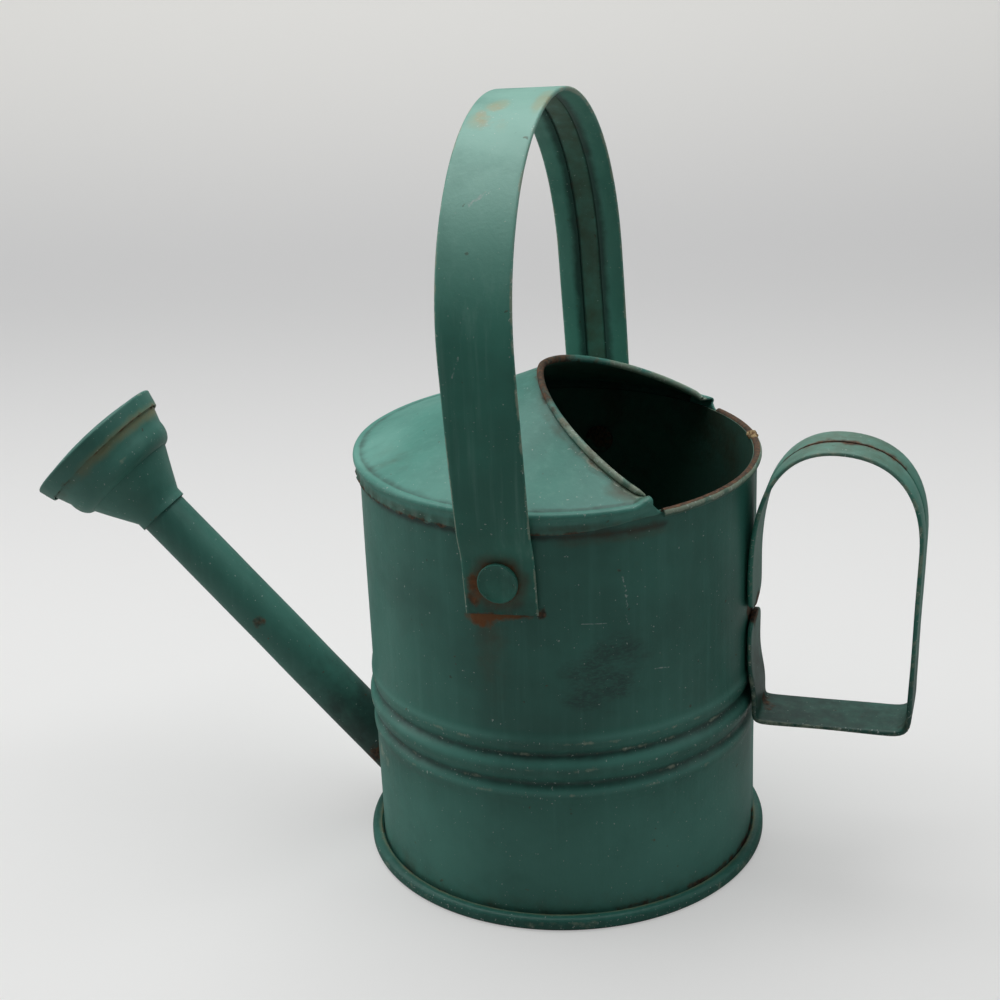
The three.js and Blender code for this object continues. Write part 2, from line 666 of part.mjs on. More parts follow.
function roseFace() {
  const rimBack = ROSE_LENGTH - ROSE_RIM_DEPTH;
  const dome = ROSE_DOME_SHARES.map((share) => [
    ROSE_RADIUS * share,
    ROSE_LENGTH + ROSE_DOME * (1 - share * share),
  ]);
  const outside = [
    [ROSE_RADIUS - ROSE_RIM_TAPER, rimBack],
    [ROSE_RADIUS, ROSE_LENGTH - ROSE_EDGE_ROUND],
    [ROSE_RADIUS - ROSE_EDGE_ROUND, ROSE_LENGTH + ROSE_EDGE_ROUND / 2],
    ...dome,
  ];
  const inside = beside(outside, SHEET);
  inside[inside.length - 1] = [0, ROSE_LENGTH + ROSE_DOME - SHEET];
  const plate = turned([...inside.reverse(), ...outside], ROSE_SEGMENTS);
  return geometryOf(solidOf(plate).subtract(roseHoles())).translate(0, 0, SPOUT_LENGTH);
}

// Assembly

function piece(name, geometry, color) {
  const paint = new THREE.MeshStandardMaterial({
    color,
    roughness: PAINT_ROUGHNESS,
    metalness: PAINT_METALNESS,
  });
  const mesh = new THREE.Mesh(geometry, paint);
  mesh.name = name;
  return mesh;
}

const can = new THREE.Group();
can.add(piece('body_shell', bodyShell(), BODY_GREEN));
can.add(piece('base_pan', basePan(), BODY_GREEN));
can.add(piece('top_cover', topCover(), COVER_GREEN));
can.add(piece('rear_handle', rearHandle(), STRAP_GREEN));

bailFrame.add(piece('bail_strap', bailStrap(), STRAP_GREEN));
can.add(bailFrame);
for (const [name, side] of [['bail_rivet_left', 1], ['bail_rivet_right', -1]]) {
  const pin = piece(name, rivet(), STRAP_GREEN);
  pin.rotation.x = side * Math.PI / 2;
  pin.position.set(BAIL_PIVOT_X, 0, PIVOT_Z);
  can.add(pin);
}

spoutFrame.add(piece('spout_tube', spoutTube(), SPOUT_GREEN));
spoutFrame.add(piece('rose_cone', roseCone(), SPOUT_GREEN));
spoutFrame.add(piece('rose_face', roseFace(), SPOUT_GREEN));
can.add(spoutFrame);

// The origin is on the floor, under the middle of the whole object
const extent = new THREE.Box3().setFromObject(can, true);
const middle = extent.getCenter(new THREE.Vector3());
can.position.set(-middle.x, -middle.y, -extent.min.z);

export default can;
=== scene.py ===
"""Weathered green watering can: fine sheet-metal pieces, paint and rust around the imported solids."""
import json
import math

import bmesh
import bpy
from mathutils import Matrix, Vector, noise


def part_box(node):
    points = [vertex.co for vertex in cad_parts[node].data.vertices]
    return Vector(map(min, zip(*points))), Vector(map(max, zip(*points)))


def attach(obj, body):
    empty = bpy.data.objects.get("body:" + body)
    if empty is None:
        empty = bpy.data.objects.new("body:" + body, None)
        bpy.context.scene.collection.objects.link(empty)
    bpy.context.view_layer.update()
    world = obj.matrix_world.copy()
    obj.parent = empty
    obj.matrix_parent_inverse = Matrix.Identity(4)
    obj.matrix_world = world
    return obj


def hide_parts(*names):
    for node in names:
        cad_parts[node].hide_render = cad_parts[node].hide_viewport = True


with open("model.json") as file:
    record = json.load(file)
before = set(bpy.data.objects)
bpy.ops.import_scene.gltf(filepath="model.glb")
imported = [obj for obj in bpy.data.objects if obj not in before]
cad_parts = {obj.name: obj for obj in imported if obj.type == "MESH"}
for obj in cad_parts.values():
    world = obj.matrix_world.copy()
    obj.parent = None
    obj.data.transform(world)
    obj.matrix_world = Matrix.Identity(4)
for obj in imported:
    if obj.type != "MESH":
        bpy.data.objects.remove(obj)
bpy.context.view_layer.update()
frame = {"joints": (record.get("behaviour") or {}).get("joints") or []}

# Pieces are shaped in millimetres about the can's own axis, and CAN places them in the row frame
MM = 0.001
foot_low, foot_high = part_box("base_pan")
AXIS = Vector(((foot_low.x + foot_high.x) / 2, (foot_low.y + foot_high.y) / 2, 0))
CAN = Matrix.Translation(AXIS) @ Matrix.Scale(MM, 4)
PIVOT = CAN.inverted() @ Vector(frame["joints"][0]["pos_m"])

# Wall; a bead is its height on the wall, its half width and its rise
SHEET = 0.6
GAP = 0.3
FACETS = 168
BODY_RADIUS = 65
BODY_HEIGHT = 141
WALL_FOOT = 1.8
WALL_CLEAR_OF_FOOT = 5
SEAM_ANGLE = 14
SEAM_HALF_WIDTH = 3.5
SEAM_EDGE = 1.2
SEAM_RISE = 0.8
SEAM_TOP = 138
RIM_CURL = 1.4
RIM_CURL_TAIL = -75
RIM_HALF_ANGLE = 46.2
CRUST_ANGLE = 21
CRUST_RADIUS = 2
CRUST_SEAT = (BODY_RADIUS + 0.6, 0, BODY_HEIGHT + 0.1)
CRUST_STRETCH = (0.8, 1.7, 0.8, 1)
BORE_DEPTH = 40
BEADS = [
    (66.5, 5.0, 0.6),
    (62.2, 2.6, -0.6),
    (57.6, 5.2, 1.5),
    (51.9, 2.6, -0.6),
    (48.2, 4.2, 0.8),
]
BEAD_ZONE = (43, 73)

# Base
FOOT_RADIUS = (foot_high.x - foot_low.x) / 2 / MM
FOOT_HEIGHT = 4.7
FOOT_ROUND = 1.6
FOOT_CHAMFER = 0.4
FOLD_ROUND = 0.7
FOLD_DIP = 0.1
FLANGE_REACH = 2
FLANGE_LOW = 1.2
FLANGE_HIGH = 2.7
PANEL_RAISE = 3
PANEL_RING = 30
PANEL_EDGE_RUN = 2
PANEL_EDGE_DROP = 0.6

# Cover; the ears are the turned-up ends of its lip
COVER_STEPS = 240
COVER_OPEN_ANGLE = 46.5
LIP_RADIUS = 67
LIP_Z = 143.2
LIP_FOLD = 0.95
LIP_FOLD_FROM = -50
LIP_FLAT = 1.4
EAR_SPAN = 9
EAR_RISE = 1.8
EAR_FAR_SHARE = 0.12
EAR_SLANT = 3.2
EAR_CURL_SHARE = 0.66
EAR_TOP = 149
EAR_FRONT = 34
SKIRT_LOW = 137.35
SKIRT_END_RISE = 3
SKIRT_END_SPAN = 30
SKIRT_ROWS = (0, 0.2, 0.45, 0.7, 1)
CRIMPS = 68
CRIMP_LEAST = 0.12
CRIMP_STARTS = (188, 206)
CRIMP_ENDS = (250, 268)
CRIMP_BULGE = 0.3
PUCKER_BULGE = 0.45
PUCKER_DROP = 0.75
HOOD_ROWS = 16
HOOD_SAG = 0.9
MOUTH_APEX = (-3.5, 168.95)
MOUTH_END = (39.43, 47.33, 144.55)
MOUTH_FULLNESS = 1.65
MOUTH_SAMPLES = 80
MOUTH_CURL = 0.85
CURL_POINTS = 12
CURL_FROM = 25
CURL_TO = 270

# Straps; bail sizes run from its pivot, before it leans
STRAP = 1.6
STRAP_ON_WALL = BODY_RADIUS + GAP + STRAP / 2
HEM_STEP = 0.7
HEM_ROUND = 0.25
HEM_EASE = 0.12
CHANNEL_SIDE = -0.05
BAIL_WIDTH = 23.4
BAIL_NARROWING = 0.015
BAIL_RECESS = 7.6
BAIL_LEAN = 2.8
BAIL_TAIL = 10.8
BAIL_SET = 11
BAIL_LEG = 68.3
BAIL_ARCH_RISE = 66.9
BAIL_TOP = BAIL_LEG + BAIL_ARCH_RISE
BAIL_PAST_LIP = LIP_RADIUS + 1.4 * GAP + STRAP / 2
BAIL_SPREAD = BAIL_PAST_LIP + 0.82
RIVET_SHANK = 3
RIVET_TAIL = [(0, 1.5), (3.6, 1.5), (4.6, 1.2), (5, 0.7), (5, 0)]
RIVET_HEAD = 6.4
RIVET_HEAD_LOW = STRAP_ON_WALL + STRAP / 2 + GAP
RIVET_HEAD_DEPTH = 1.5
RIVET_ROUND = 0.45
RIVET_DRAFT = 0.15
RIVET_DISH = [(1.3, 0.22), (3, 0.28), (RIVET_HEAD, 0.2)]
HANDLE_WIDTH = 20.4
HANDLE_SEAM = 1.2
HANDLE_TOP = 148.6
HANDLE_BOTTOM = 52.4
HANDLE_GRIP = BODY_RADIUS + 54.6
HANDLE_END_ROUND = 5.5
HANDLE_END_LEAST = 0.12
HANDLE_UPPER_END = HANDLE_TOP - 57.5
HANDLE_LOWER_END = HANDLE_TOP - 60.5

# Spout and rose
SPOUT_RADIUS = 8.6
SPOUT_ROOT = (-BODY_RADIUS, 0, 22.4)
SPOUT_RISE_ANGLE = 46.3
SPOUT_LENGTH = 117.6
SPOUT_TAIL = 18
SPOUT_IN_ROSE = 4.5
SPOUT = Matrix.Translation(SPOUT_ROOT) @ Matrix.Rotation(math.radians(SPOUT_RISE_ANGLE - 90), 4, "Y")
SPOUT_TIP = SPOUT @ Matrix.Translation((0, 0, SPOUT_LENGTH))
COLLAR_RADIUS = SPOUT_RADIUS + GAP + SHEET
COLLAR_RINGS = (0, 1.4)
COLLAR_LENGTH = 2.9
ROSE_FACETS = 96
ROSE_LENGTH = 35.4
ROSE_RADIUS = 26.2
ROSE_RIM_DEPTH = 5.8
ROSE_RIM_BACK = ROSE_LENGTH - ROSE_RIM_DEPTH
ROSE_RIM_TAPER = 1.5
ROSE_RIM_ROUND = 0.8
ROSE_TUCK = (0.5, 3.8)
ROSE_THROAT_RADIUS = 21.6
ROSE_NECK = 5.1
ROSE_BEAD_LENGTH = 7.2
ROSE_BEAD_RISE = 4.3
ROSE_DOME = 2.8
ROSE_HOLE_RADIUS = 1.0
ROSE_HOLE_DEPTH = 8
ROSE_HOLE_PITCH = 6.1
ROSE_HOLE_RINGS = 3

# Heights of the wall's grooves, darkened with painted shade, of its chipped crests, and of the beads' upper
# slopes, lightened with a painted highlight
GROOVES = (62.0, 52.0)
CHIPPED = (66.5, 62.4, 57.6, 52.0, 48.5)
HIGHLIT_SLOPES = (68.2, 59.4, 49.4)

# Where the mouth is open, so that the wall's rim shows, and where the skirt's shade ends
RIM_SHOWS_X = 42
RIM_WORN_X = 43
SKIRT_SHADE_X = 46

# Soft blots: strength, centre and reach, in can millimetres
BLOT_CORE = 0.25
WALL_STRAP_RUST = [
    (0.9, (-7, -64, 109.4), (10, 14, 7)),
    (0.9, (1, -65, 110.4), (15, 14, 3.6)),
    (0.7, (12, -64, 112), (3, 14, 4.5)),
]
WALL_HANDLE_RUST = [(0.75, (65, 0, 90), (14, 13, 14))]
WALL_ORANGE = [(0.85, (-4, -65, 108), (16, 20, 9))]
WALL_SMUDGE = [(0.85, (27, -59, 88), (19, 20, 17)), (0.7, (33, -56, 96), (15, 20, 12))]
WALL_SCUFF = [(0.5, (-54, -34, 40), (14, 18, 9))]
HOOD_STAIN = [(0.9, (36, -47, 147), (14, 10, 6)), (0.35, (-48, -34, 147), (22, 22, 5))]
HOOD_CHALK = [(0.6, (-54, -24, 146), (18, 30, 8))]
HANDLE_RUST = [
    (0.85, (STRAP_ON_WALL, 0, (HANDLE_UPPER_END + HANDLE_LOWER_END) / 2), (8, 14, 9)),
    (0.62, (STRAP_ON_WALL + 3, 0, HANDLE_BOTTOM + 1), (8, 14, 6)),
    (0.6, (HANDLE_GRIP - 3, -8, HANDLE_BOTTOM + 3), (6, 7, 6)),
]
SPOUT_RUST = [(0.62, SPOUT @ Vector((2, -SPOUT_RADIUS, 66)), (5, 6, 5))]

# Blots on the bail, from its pivot
BAIL_WORN = [(0.55, (-3, -22, BAIL_TOP - 4), (12, 18, 12))]
BAIL_SMEAR = [(0.66, (-8, -STRAP_ON_WALL, -2), (5, 6, 10))]
BAIL_TAN = [
    (0.7, (-3, -16, BAIL_TOP - 1), (6, 8, 6)),
    (0.75, (-7, -24, BAIL_TOP - 6), (6, 8, 8)),
    (0.6, (1, -27, BAIL_TOP - 8), (5, 7, 6)),
    (0.8, (10, -12, BAIL_TOP - 1), (4, 18, 8)),
]

# Scratches on the wall's near side: start and end in can millimetres, width and wander
WALL_SCRATCHES = [
    ((34.6, -55.0, 122), (36.0, -54.1, 106), 0.36, 4.2),
    ((23.0, -60.8, 107.4), (30.0, -57.7, 107.0), 0.2, 0.3),
    ((43.0, -48.7, 88.6), (46.5, -45.4, 87.9), 0.3, 0.8),
]

# Scratches on the bail's near leg and arch
STRAP_SCRATCHES = [
    ((-14, -69.8, 203), (3, -69.8, 200.5), 0.34, 0.9),
    ((-10, -69.0, 160), (-5, -69.0, 157.5), 0.36, 0.5),
    ((-13, -56, 232), (-4, -50, 237), 0.6, 3),
    ((-6, -47, 239), (3, -42, 243), 0.6, 3),
    ((-11.5, -69.6, 187), (-9.5, -69.7, 193), 0.34, 0.6),
]
SCRATCH_SHAKE = 420.0
SCRATCH_CORE = 0.35

# Camera, fitted to the photograph in a 1000 by 1000 frame
CAMERA_AT = Vector((150.88, -553.19, 348.34))
CAMERA_AZIMUTH = 15.25
CAMERA_PITCH = 21.41
CAMERA_YAW = -1.93
CAMERA_ROLL = -2.38
CAMERA_LENS = 66.51
CAMERA_SENSOR = 36

# Stage in metres: the paper sweep, and each lamp's place, aim, width, depth and power
SWEEP_FRONT = -2.2
SWEEP_BEND_FROM = 0.75
SWEEP_BEND = 0.6
SWEEP_TOP = 3.2
SWEEP_HALF_WIDTH = 3
PAPER_DIMS = (0.05, 0.75)
PAPER_CLEARS = (0.8, 1.3)
PAPER_GLOW = 0.78
PAPER_GLOW_SHARE = 0.5
LAMPS = [
    ("overhead", (-0.15, 0.25, 1.4), (0.02, 0.0, 0.1), 1.6, 1.6, 20),
    ("left_fill", (-1.3, -0.15, 0.6), (0.0, 0.0, 0.1), 0.7, 1.0, 4.2),
    ("right_rim", (1.3, 0.1, 0.6), (0.03, 0.0, 0.1), 0.6, 0.9, 1.6),
]

# Sky: how pale the camera sees it, and how much it lights
SKY_COLOUR = (0.9, 0.95, 1.0, 1)
SKY_SEEN = 0.7
SKY_FILL = 0.06


# Shaping helpers

def smooth_step(value, low, high):
    share = min(max((value - low) / (high - low), 0), 1)
    return share * share * (3 - 2 * share)


def fade_out(value, full, none):
    """1 up to the value full, falling to 0 at the value none."""
    return 1 - smooth_step(value, full, none)


def near(value, centre, full, none):
    """1 within the distance full of a centre, falling to 0 at the distance none."""
    return fade_out(abs(value - centre), full, none)


def ramp_points(low, high, count):
    return [low + (high - low) * i / (count - 1) for i in range(count)]


def arc(centre, radius, start, end, count):
    angles = [math.radians(a) for a in ramp_points(start, end, count)]
    return [(centre[0] + radius * math.cos(a), centre[1] + radius * math.sin(a)) for a in angles]


def straight(start, end, count):
    return [tuple(Vector(start).lerp(Vector(end), t)) for t in ramp_points(0, 1, count)]


def bezier(p0, p1, p2, p3, count):
    points = []
    for t in ramp_points(0, 1, count):
        u = 1 - t
        weights = (u ** 3, 3 * u * u * t, 3 * u * t * t, t ** 3)
        points.append(tuple(sum(w * p[k] for w, p in zip(weights, (p0, p1, p2, p3))) for k in (0, 1)))
    return points


def beside(profile, distance):
    """An open profile moved sideways, to the left of its direction of travel."""
    moved = []
    for i, point in enumerate(profile):
        before = Vector(profile[max(i - 1, 0)])
        after = Vector(profile[min(i + 1, len(profile) - 1)])
        run = (after - before).normalized()
        moved.append((point[0] - distance * run.y, point[1] + distance * run.x))
    return moved


def spun(profile, steps, angle=360, start=0, closed=True):
    """A profile of (radius, height) pairs spun about the Z axis into a closed solid."""
    bm = bmesh.new()
    verts = [bm.verts.new((r, 0, z)) for r, z in profile]
    ends = verts[1:] + verts[:1] if closed else verts[1:]
    edges = [bm.edges.new(pair) for pair in zip(verts, ends)]
    turn = Matrix.Rotation(math.radians(start), 3, "Z")
    bmesh.ops.rotate(bm, verts=verts, cent=(0, 0, 0), matrix=turn)
    whole = angle == 360
    made = bmesh.ops.spin(
        bm, geom=verts + edges, cent=(0, 0, 0), axis=(0, 0, 1),
        angle=math.radians(angle), steps=steps, use_merge=whole,
    )
    if not whole:
        last = [part for part in made["geom_last"] if isinstance(part, bmesh.types.BMEdge)]
        bmesh.ops.contextual_create(bm, geom=edges)
        bmesh.ops.contextual_create(bm, geom=last)
    bmesh.ops.remove_doubles(bm, verts=bm.verts, dist=1e-4)
    bmesh.ops.recalc_face_normals(bm, faces=bm.faces)
    return bm


def extruded(bm, edges):
    """Extrudes a line of edges, and gives the new edges and points."""
    made = bmesh.ops.extrude_edge_only(bm, edges=edges)["geom"]
    new_edges = [part for part in made if isinstance(part, bmesh.types.BMEdge)]
    return new_edges, [part for part in made if isinstance(part, bmesh.types.BMVert)]


def swept(section, stations):
    """A closed section extruded through a list of frames, with both ends filled."""
    bm = bmesh.new()
    depth = bm.verts.layers.float.new("depth")
    verts = []
    for x, y in section:
        vert = bm.verts.new((x, y, 0))
        vert[depth] = x
        verts.append(vert)
    ring = [bm.edges.new(pair) for pair in zip(verts, verts[1:] + verts[:1])]
    bmesh.ops.transform(bm, matrix=stations[0], verts=verts)
    bmesh.ops.contextual_create(bm, geom=ring)
    for before, after in zip(stations, stations[1:]):
        ring, verts = extruded(bm, ring)
        bmesh.ops.transform(bm, matrix=after @ before.inverted(), verts=verts)
    bmesh.ops.contextual_create(bm, geom=ring)
    bmesh.ops.recalc_face_normals(bm, faces=bm.faces)
    return bm


def lofted(rows):
    """A sheet through rows of points: the first row is extruded edge by edge to each of the others."""
    bm = bmesh.new()
    place = bm.verts.layers.int.new("place")
    verts = []
    for i, point in enumerate(rows[0]):
        vert = bm.verts.new(point)
        vert[place] = i
        verts.append(vert)
    line = [bm.edges.new(pair) for pair in zip(verts, verts[1:])]
    for row in rows[1:]:
        line, verts = extruded(bm, line)
        for vert in verts:
            vert.co = row[vert[place]]
    bm.verts.layers.int.remove(place)
    return bm


def add_cylinder(bm, radius, depth, segments, place):
    bmesh.ops.create_cone(
        bm, cap_ends=True, segments=segments, radius1=radius, radius2=radius, depth=depth, matrix=place,
    )


def join(bm, *others):
    for other in others:
        scrap = bpy.data.meshes.new("scrap")
        other.to_mesh(scrap)
        bm.from_mesh(scrap)
        bpy.data.meshes.remove(scrap)
        other.free()


def wobble(bm, size, amount):
    """Small hand-worked unevenness, pushed along the normals."""
    bm.normal_update()
    for vert in bm.verts:
        vert.co += vert.normal * amount * noise.noise(vert.co / size)


def paint(bm, layer_name, strength, hem_side=None):
    """Writes a mark's strength, from 0 to 1, on every point of a piece, or on one side of a strap."""
    layer = bm.verts.layers.float.get(layer_name) or bm.verts.layers.float.new(layer_name)
    depth = bm.verts.layers.float.get("depth")
    for vert in bm.verts:
        if hem_side is None or hem_side == (vert[depth] < CHANNEL_SIDE):
            vert[layer] = min(max(vert[layer], strength(vert.co), 0), 1)


def blots(co, spots):
    """The strongest of some soft blots at a point; a blot is full at its core and 0 at its reach."""
    strengths = []
    for strength, centre, reach in spots:
        off = math.sqrt(sum(((a - b) / s) ** 2 for a, b, s in zip(co, centre, reach)))
        strengths.append(strength * fade_out(off, BLOT_CORE, 1))
    return max(strengths)


def added(name, bm):
    """A new object in the scene from a shape, which is used up."""
    mesh = bpy.data.meshes.new(name)
    bm.to_mesh(mesh)
    bm.free()
    thing = bpy.data.objects.new(name, mesh)
    bpy.context.scene.collection.objects.link(thing)
    return thing


def cut_away(bm, cutter):
    """One closed shape with another cut out of it."""
    for shape in (bm, cutter):
        bmesh.ops.recalc_face_normals(shape, faces=shape.faces)
    kept = added("solid", bm)
    tool = added("solid", cutter)
    trim = kept.modifiers.new("trim", "BOOLEAN")
    trim.operation = "DIFFERENCE"
    trim.solver = "EXACT"
    trim.object = tool
    shown = kept.evaluated_get(bpy.context.evaluated_depsgraph_get())
    cut = bmesh.new()
    cut.from_mesh(shown.to_mesh())
    shown.to_mesh_clear()
    for solid in (kept, tool):
        mesh = solid.data
        bpy.data.objects.remove(solid)
        bpy.data.meshes.remove(mesh)
    return cut


def piece_from(bm, name, node, body, materials, crease=40, place=Matrix()):
    """Places a shape in the row frame as a smooth-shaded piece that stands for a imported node."""
    bmesh.ops.transform(bm, matrix=place, verts=bm.verts)
    bmesh.ops.transform(bm, matrix=CAN, verts=bm.verts)
    piece = added(name, bm)
    piece.data.shade_smooth()
    piece.data.set_sharp_from_angle(angle=math.radians(crease))
    for material in materials:
        piece.data.materials.append(material)
    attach(piece, body)
    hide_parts(node)
    return piece


# Node helpers

def srgb(red, green, blue):
    levels = [c / 255 for c in (red, green, blue)]
    return (*[c / 12.92 if c <= 0.04045 else ((c + 0.055) / 1.055) ** 2.4 for c in levels], 1)


def add_node(tree, kind, sockets, **settings):
    node = tree.nodes.new(kind)
    for key, value in settings.items():
        setattr(node, key, value)
    for key, value in sockets.items():
        if isinstance(value, bpy.types.NodeSocket):
            tree.links.new(value, node.inputs[key])
        else:
            node.inputs[key].default_value = value
    return node


def math_node(tree, operation, *values):
    return add_node(tree, "ShaderNodeMath", dict(enumerate(values)), operation=operation).outputs[0]


def times(tree, first, second):
    return math_node(tree, "MULTIPLY", first, second)


def times_plus(tree, first, second, third):
    return math_node(tree, "MULTIPLY_ADD", first, second, third)


def vector_node(tree, operation, sockets, output="Vector"):
    return add_node(tree, "ShaderNodeVectorMath", sockets, operation=operation).outputs[output]


def grain(tree, place, scale, detail=3.0, stretch=(1, 1, 1)):
    """Noise on the object's own coordinates; scale counts features per metre."""
    spread = add_node(tree, "ShaderNodeMapping", {"Vector": place, "Scale": stretch})
    made = add_node(
        tree, "ShaderNodeTexNoise",
        {"Vector": spread.outputs[0], "Scale": scale, "Detail": detail, "Roughness": 0.6},
    )
    return made.outputs[0]


def window(tree, value, low, high):
    sockets = {"Value": value, "From Min": low, "From Max": high}
    return add_node(tree, "ShaderNodeMapRange", sockets, interpolation_type="SMOOTHSTEP").outputs[0]


def mixed(tree, share, under, over):
    return add_node(tree, "ShaderNodeMix", {0: share, 6: under, 7: over}, data_type="RGBA").outputs[2]


def glazed(tree, under, share, strength, colour):
    """A colour laid over another where share is high, up to a strength."""
    return mixed(tree, times(tree, share, strength), under, colour)


def mark(tree, layer_name):
    return add_node(tree, "ShaderNodeAttribute", {}, attribute_name=layer_name).outputs["Fac"]


def broken(tree, layer_name, speckle, reach, low, high):
    """A painted mark broken up by noise: the noise adds or takes away up to half of reach."""
    shift = times_plus(tree, speckle, reach, -reach / 2)
    return window(tree, math_node(tree, "ADD", mark(tree, layer_name), shift), low, high)


def scratch(tree, place, start, end, width, wander):
    """A thin scratch between two points, in can millimetres, that wanders from side to side."""
    first = CAN @ Vector(start)
    run = CAN @ Vector(end) - first
    shake = add_node(tree, "ShaderNodeTexNoise", {"Vector": place, "Scale": SCRATCH_SHAKE, "Detail": 2.0})
    centred = vector_node(tree, "ADD", {0: shake.outputs["Color"], 1: (-0.5, -0.5, -0.5)})
    moved = vector_node(tree, "SCALE", {0: centred, "Scale": wander * MM})
    shaken = vector_node(tree, "ADD", {0: place, 1: moved})
    off = vector_node(tree, "SUBTRACT", {0: shaken, 1: first})
    along = vector_node(tree, "DOT_PRODUCT", {0: off, 1: run / run.length_squared}, "Value")
    share = add_node(tree, "ShaderNodeClamp", {"Value": along}).outputs[0]
    nearest = vector_node(tree, "SCALE", {0: run, "Scale": share})
    gap = vector_node(tree, "DISTANCE", {0: off, 1: nearest}, "Value")
    return window(tree, gap, width * MM, width * MM * SCRATCH_CORE)


def new_finish(name):
    """A material with its node tree, its shader and the object's own coordinates."""
    material = bpy.data.materials.new(name)
    material.use_nodes = True
    tree = material.node_tree
    place = tree.nodes.new("ShaderNodeTexCoord").outputs["Object"]
    return material, tree, tree.nodes["Principled BSDF"], place


def add_bump(tree, shader, height, strength):
    bump = add_node(tree, "ShaderNodeBump", {"Height": height, "Strength": strength, "Distance": 0.4 * MM})
    tree.links.new(bump.outputs[0], shader.inputs["Normal"])


# Finishes

SHADE_AND_GRIME = srgb(16, 24, 21)
STAIN = srgb(84, 66, 36)
SMUDGE = srgb(36, 56, 54)
SMUDGE_FLECKS = srgb(24, 33, 34)
WORN_PAINT = srgb(158, 172, 150)
CHIPPED_PAINT = srgb(190, 206, 198)
SCRATCHED_PAINT = srgb(166, 186, 180)
TAN = srgb(168, 158, 112)
RUST_DARK = srgb(58, 34, 24)
RUST_LIGHT = srgb(120, 74, 44)
RUST_ORANGE = srgb(150, 90, 42)
INSIDE_GREEN = srgb(72, 116, 101)
INSIDE_DULL = srgb(76, 88, 70)
INSIDE_RUST = srgb(92, 78, 58)
CRUST_DARK = srgb(112, 84, 52)
CRUST_PALE = srgb(190, 166, 122)
PAPER_FRONT = srgb(252, 252, 251)
PAPER_PAINTED_SHADE = srgb(220, 220, 220)
PAPER_BACK = srgb(254, 253, 249)
PAPER_THROWN = srgb(178, 178, 176)


def weathered_paint(name, colour, chalk_and_highlight_tone, gloss, scratches=()):
    """Old green paint: brush streaks, chalky paint, dirt, worn edges, rust and specks, with painted
    highlights laid in the chalk colour and painted shade laid in the dark glaze.
    The marks for chalk and painted highlight, for dirt and painted shade, wear, tan, rust, orange, stain and
    smudge are painted on the pieces."""
    material, tree, shader, place = new_finish(name)
    drift = grain(tree, place, 24, 4)
    streaks = grain(tree, place, 1, 4, (330, 330, 14))
    mottle = grain(tree, place, 170, 5)
    fine = grain(tree, place, 720, 4)
    specks = grain(tree, place, 1150, 1)

    darker = tuple(c * 0.7 for c in colour[:3]) + (1,)
    tone = mixed(tree, window(tree, drift, 0.35, 0.68), darker, colour)
    tone = glazed(tree, tone, window(tree, streaks, 0.46, 0.78), 0.28, chalk_and_highlight_tone)
    tone = glazed(tree, tone, window(tree, mottle, 0.5, 0.85), 0.25, darker)
    # The chalk colour laid where the pieces mark it: chalky paint, and on lit slopes and tops a painted
    # highlight
    tone = glazed(tree, tone, mark(tree, "chalk_and_highlight"), window(tree, drift, 0.1, 0.62), chalk_and_highlight_tone)

    # A dark glaze where the pieces mark it: dirt, and painted shade in grooves, creases and under overhangs
    tone = glazed(tree, tone, broken(tree, "shade_and_grime", mottle, 0.7, 0.2, 0.9), 0.75, SHADE_AND_GRIME)
    tone = glazed(tree, tone, broken(tree, "stain", mottle, 0.8, 0.15, 1.1), 0.75, STAIN)
    abraded = broken(tree, "smudge", grain(tree, place, 75, 3, (1, 1, 2.2)), 1.4, 0.2, 1.0)
    flecks = window(tree, grain(tree, place, 620, 3, (1, 1, 2.4)), 0.34, 0.58)
    tone = glazed(tree, tone, times(tree, abraded, flecks), 0.5, SMUDGE_FLECKS)
    tone = glazed(tree, tone, abraded, 0.3, SMUDGE)
    tone = glazed(tree, tone, broken(tree, "wear", mottle, 1.3, 0.5, 0.75), 0.75, WORN_PAINT)

    chips = math_node(tree, "ADD", specks, times(tree, mark(tree, "wear"), 0.14))
    tone = glazed(tree, tone, window(tree, chips, 0.745, 0.79), 0.7, CHIPPED_PAINT)
    tone = glazed(tree, tone, broken(tree, "tan", mottle, 0.8, 0.1, 1.1), 0.6, TAN)
    for start, end, width, wander in scratches:
        line = times(tree, scratch(tree, place, start, end, width, wander), window(tree, fine, 0.36, 0.56))
        tone = glazed(tree, tone, line, 0.8, SCRATCHED_PAINT)

    freckles = times(tree, window(tree, grain(tree, place, 330, 2), 0.72, 0.77), 0.55)
    rusty = broken(tree, "rust", mottle, 1.25, 0.42, 0.78)
    rust_share = math_node(tree, "MAXIMUM", rusty, freckles)
    rust = mixed(tree, window(tree, fine, 0.35, 0.68), RUST_DARK, RUST_LIGHT)
    rust = mixed(tree, mark(tree, "orange"), rust, RUST_ORANGE)
    tone = glazed(tree, tone, rust_share, 0.88, rust)
    tree.links.new(tone, shader.inputs["Base Color"])

    dull = times_plus(tree, rust_share, 0.35, gloss)
    tree.links.new(times_plus(tree, mottle, 0.16, dull), shader.inputs["Roughness"])
    add_bump(tree, shader, times_plus(tree, rust_share, 0.6, fine), 0.22)
    return material


def dark_inside(name):
    """The inside of the tank: thin dark green paint, dull and stained with rust."""
    material, tree, shader, place = new_finish(name)
    cloud = grain(tree, place, 60, 5)
    fine = grain(tree, place, 500, 4)
    tone = mixed(tree, window(tree, cloud, 0.42, 0.75), INSIDE_GREEN, INSIDE_DULL)
    tone = glazed(tree, tone, window(tree, fine, 0.58, 0.8), 0.4, INSIDE_RUST)
    tree.links.new(tone, shader.inputs["Base Color"])
    shader.inputs["Roughness"].default_value = 0.6
    add_bump(tree, shader, fine, 0.3)
    return material


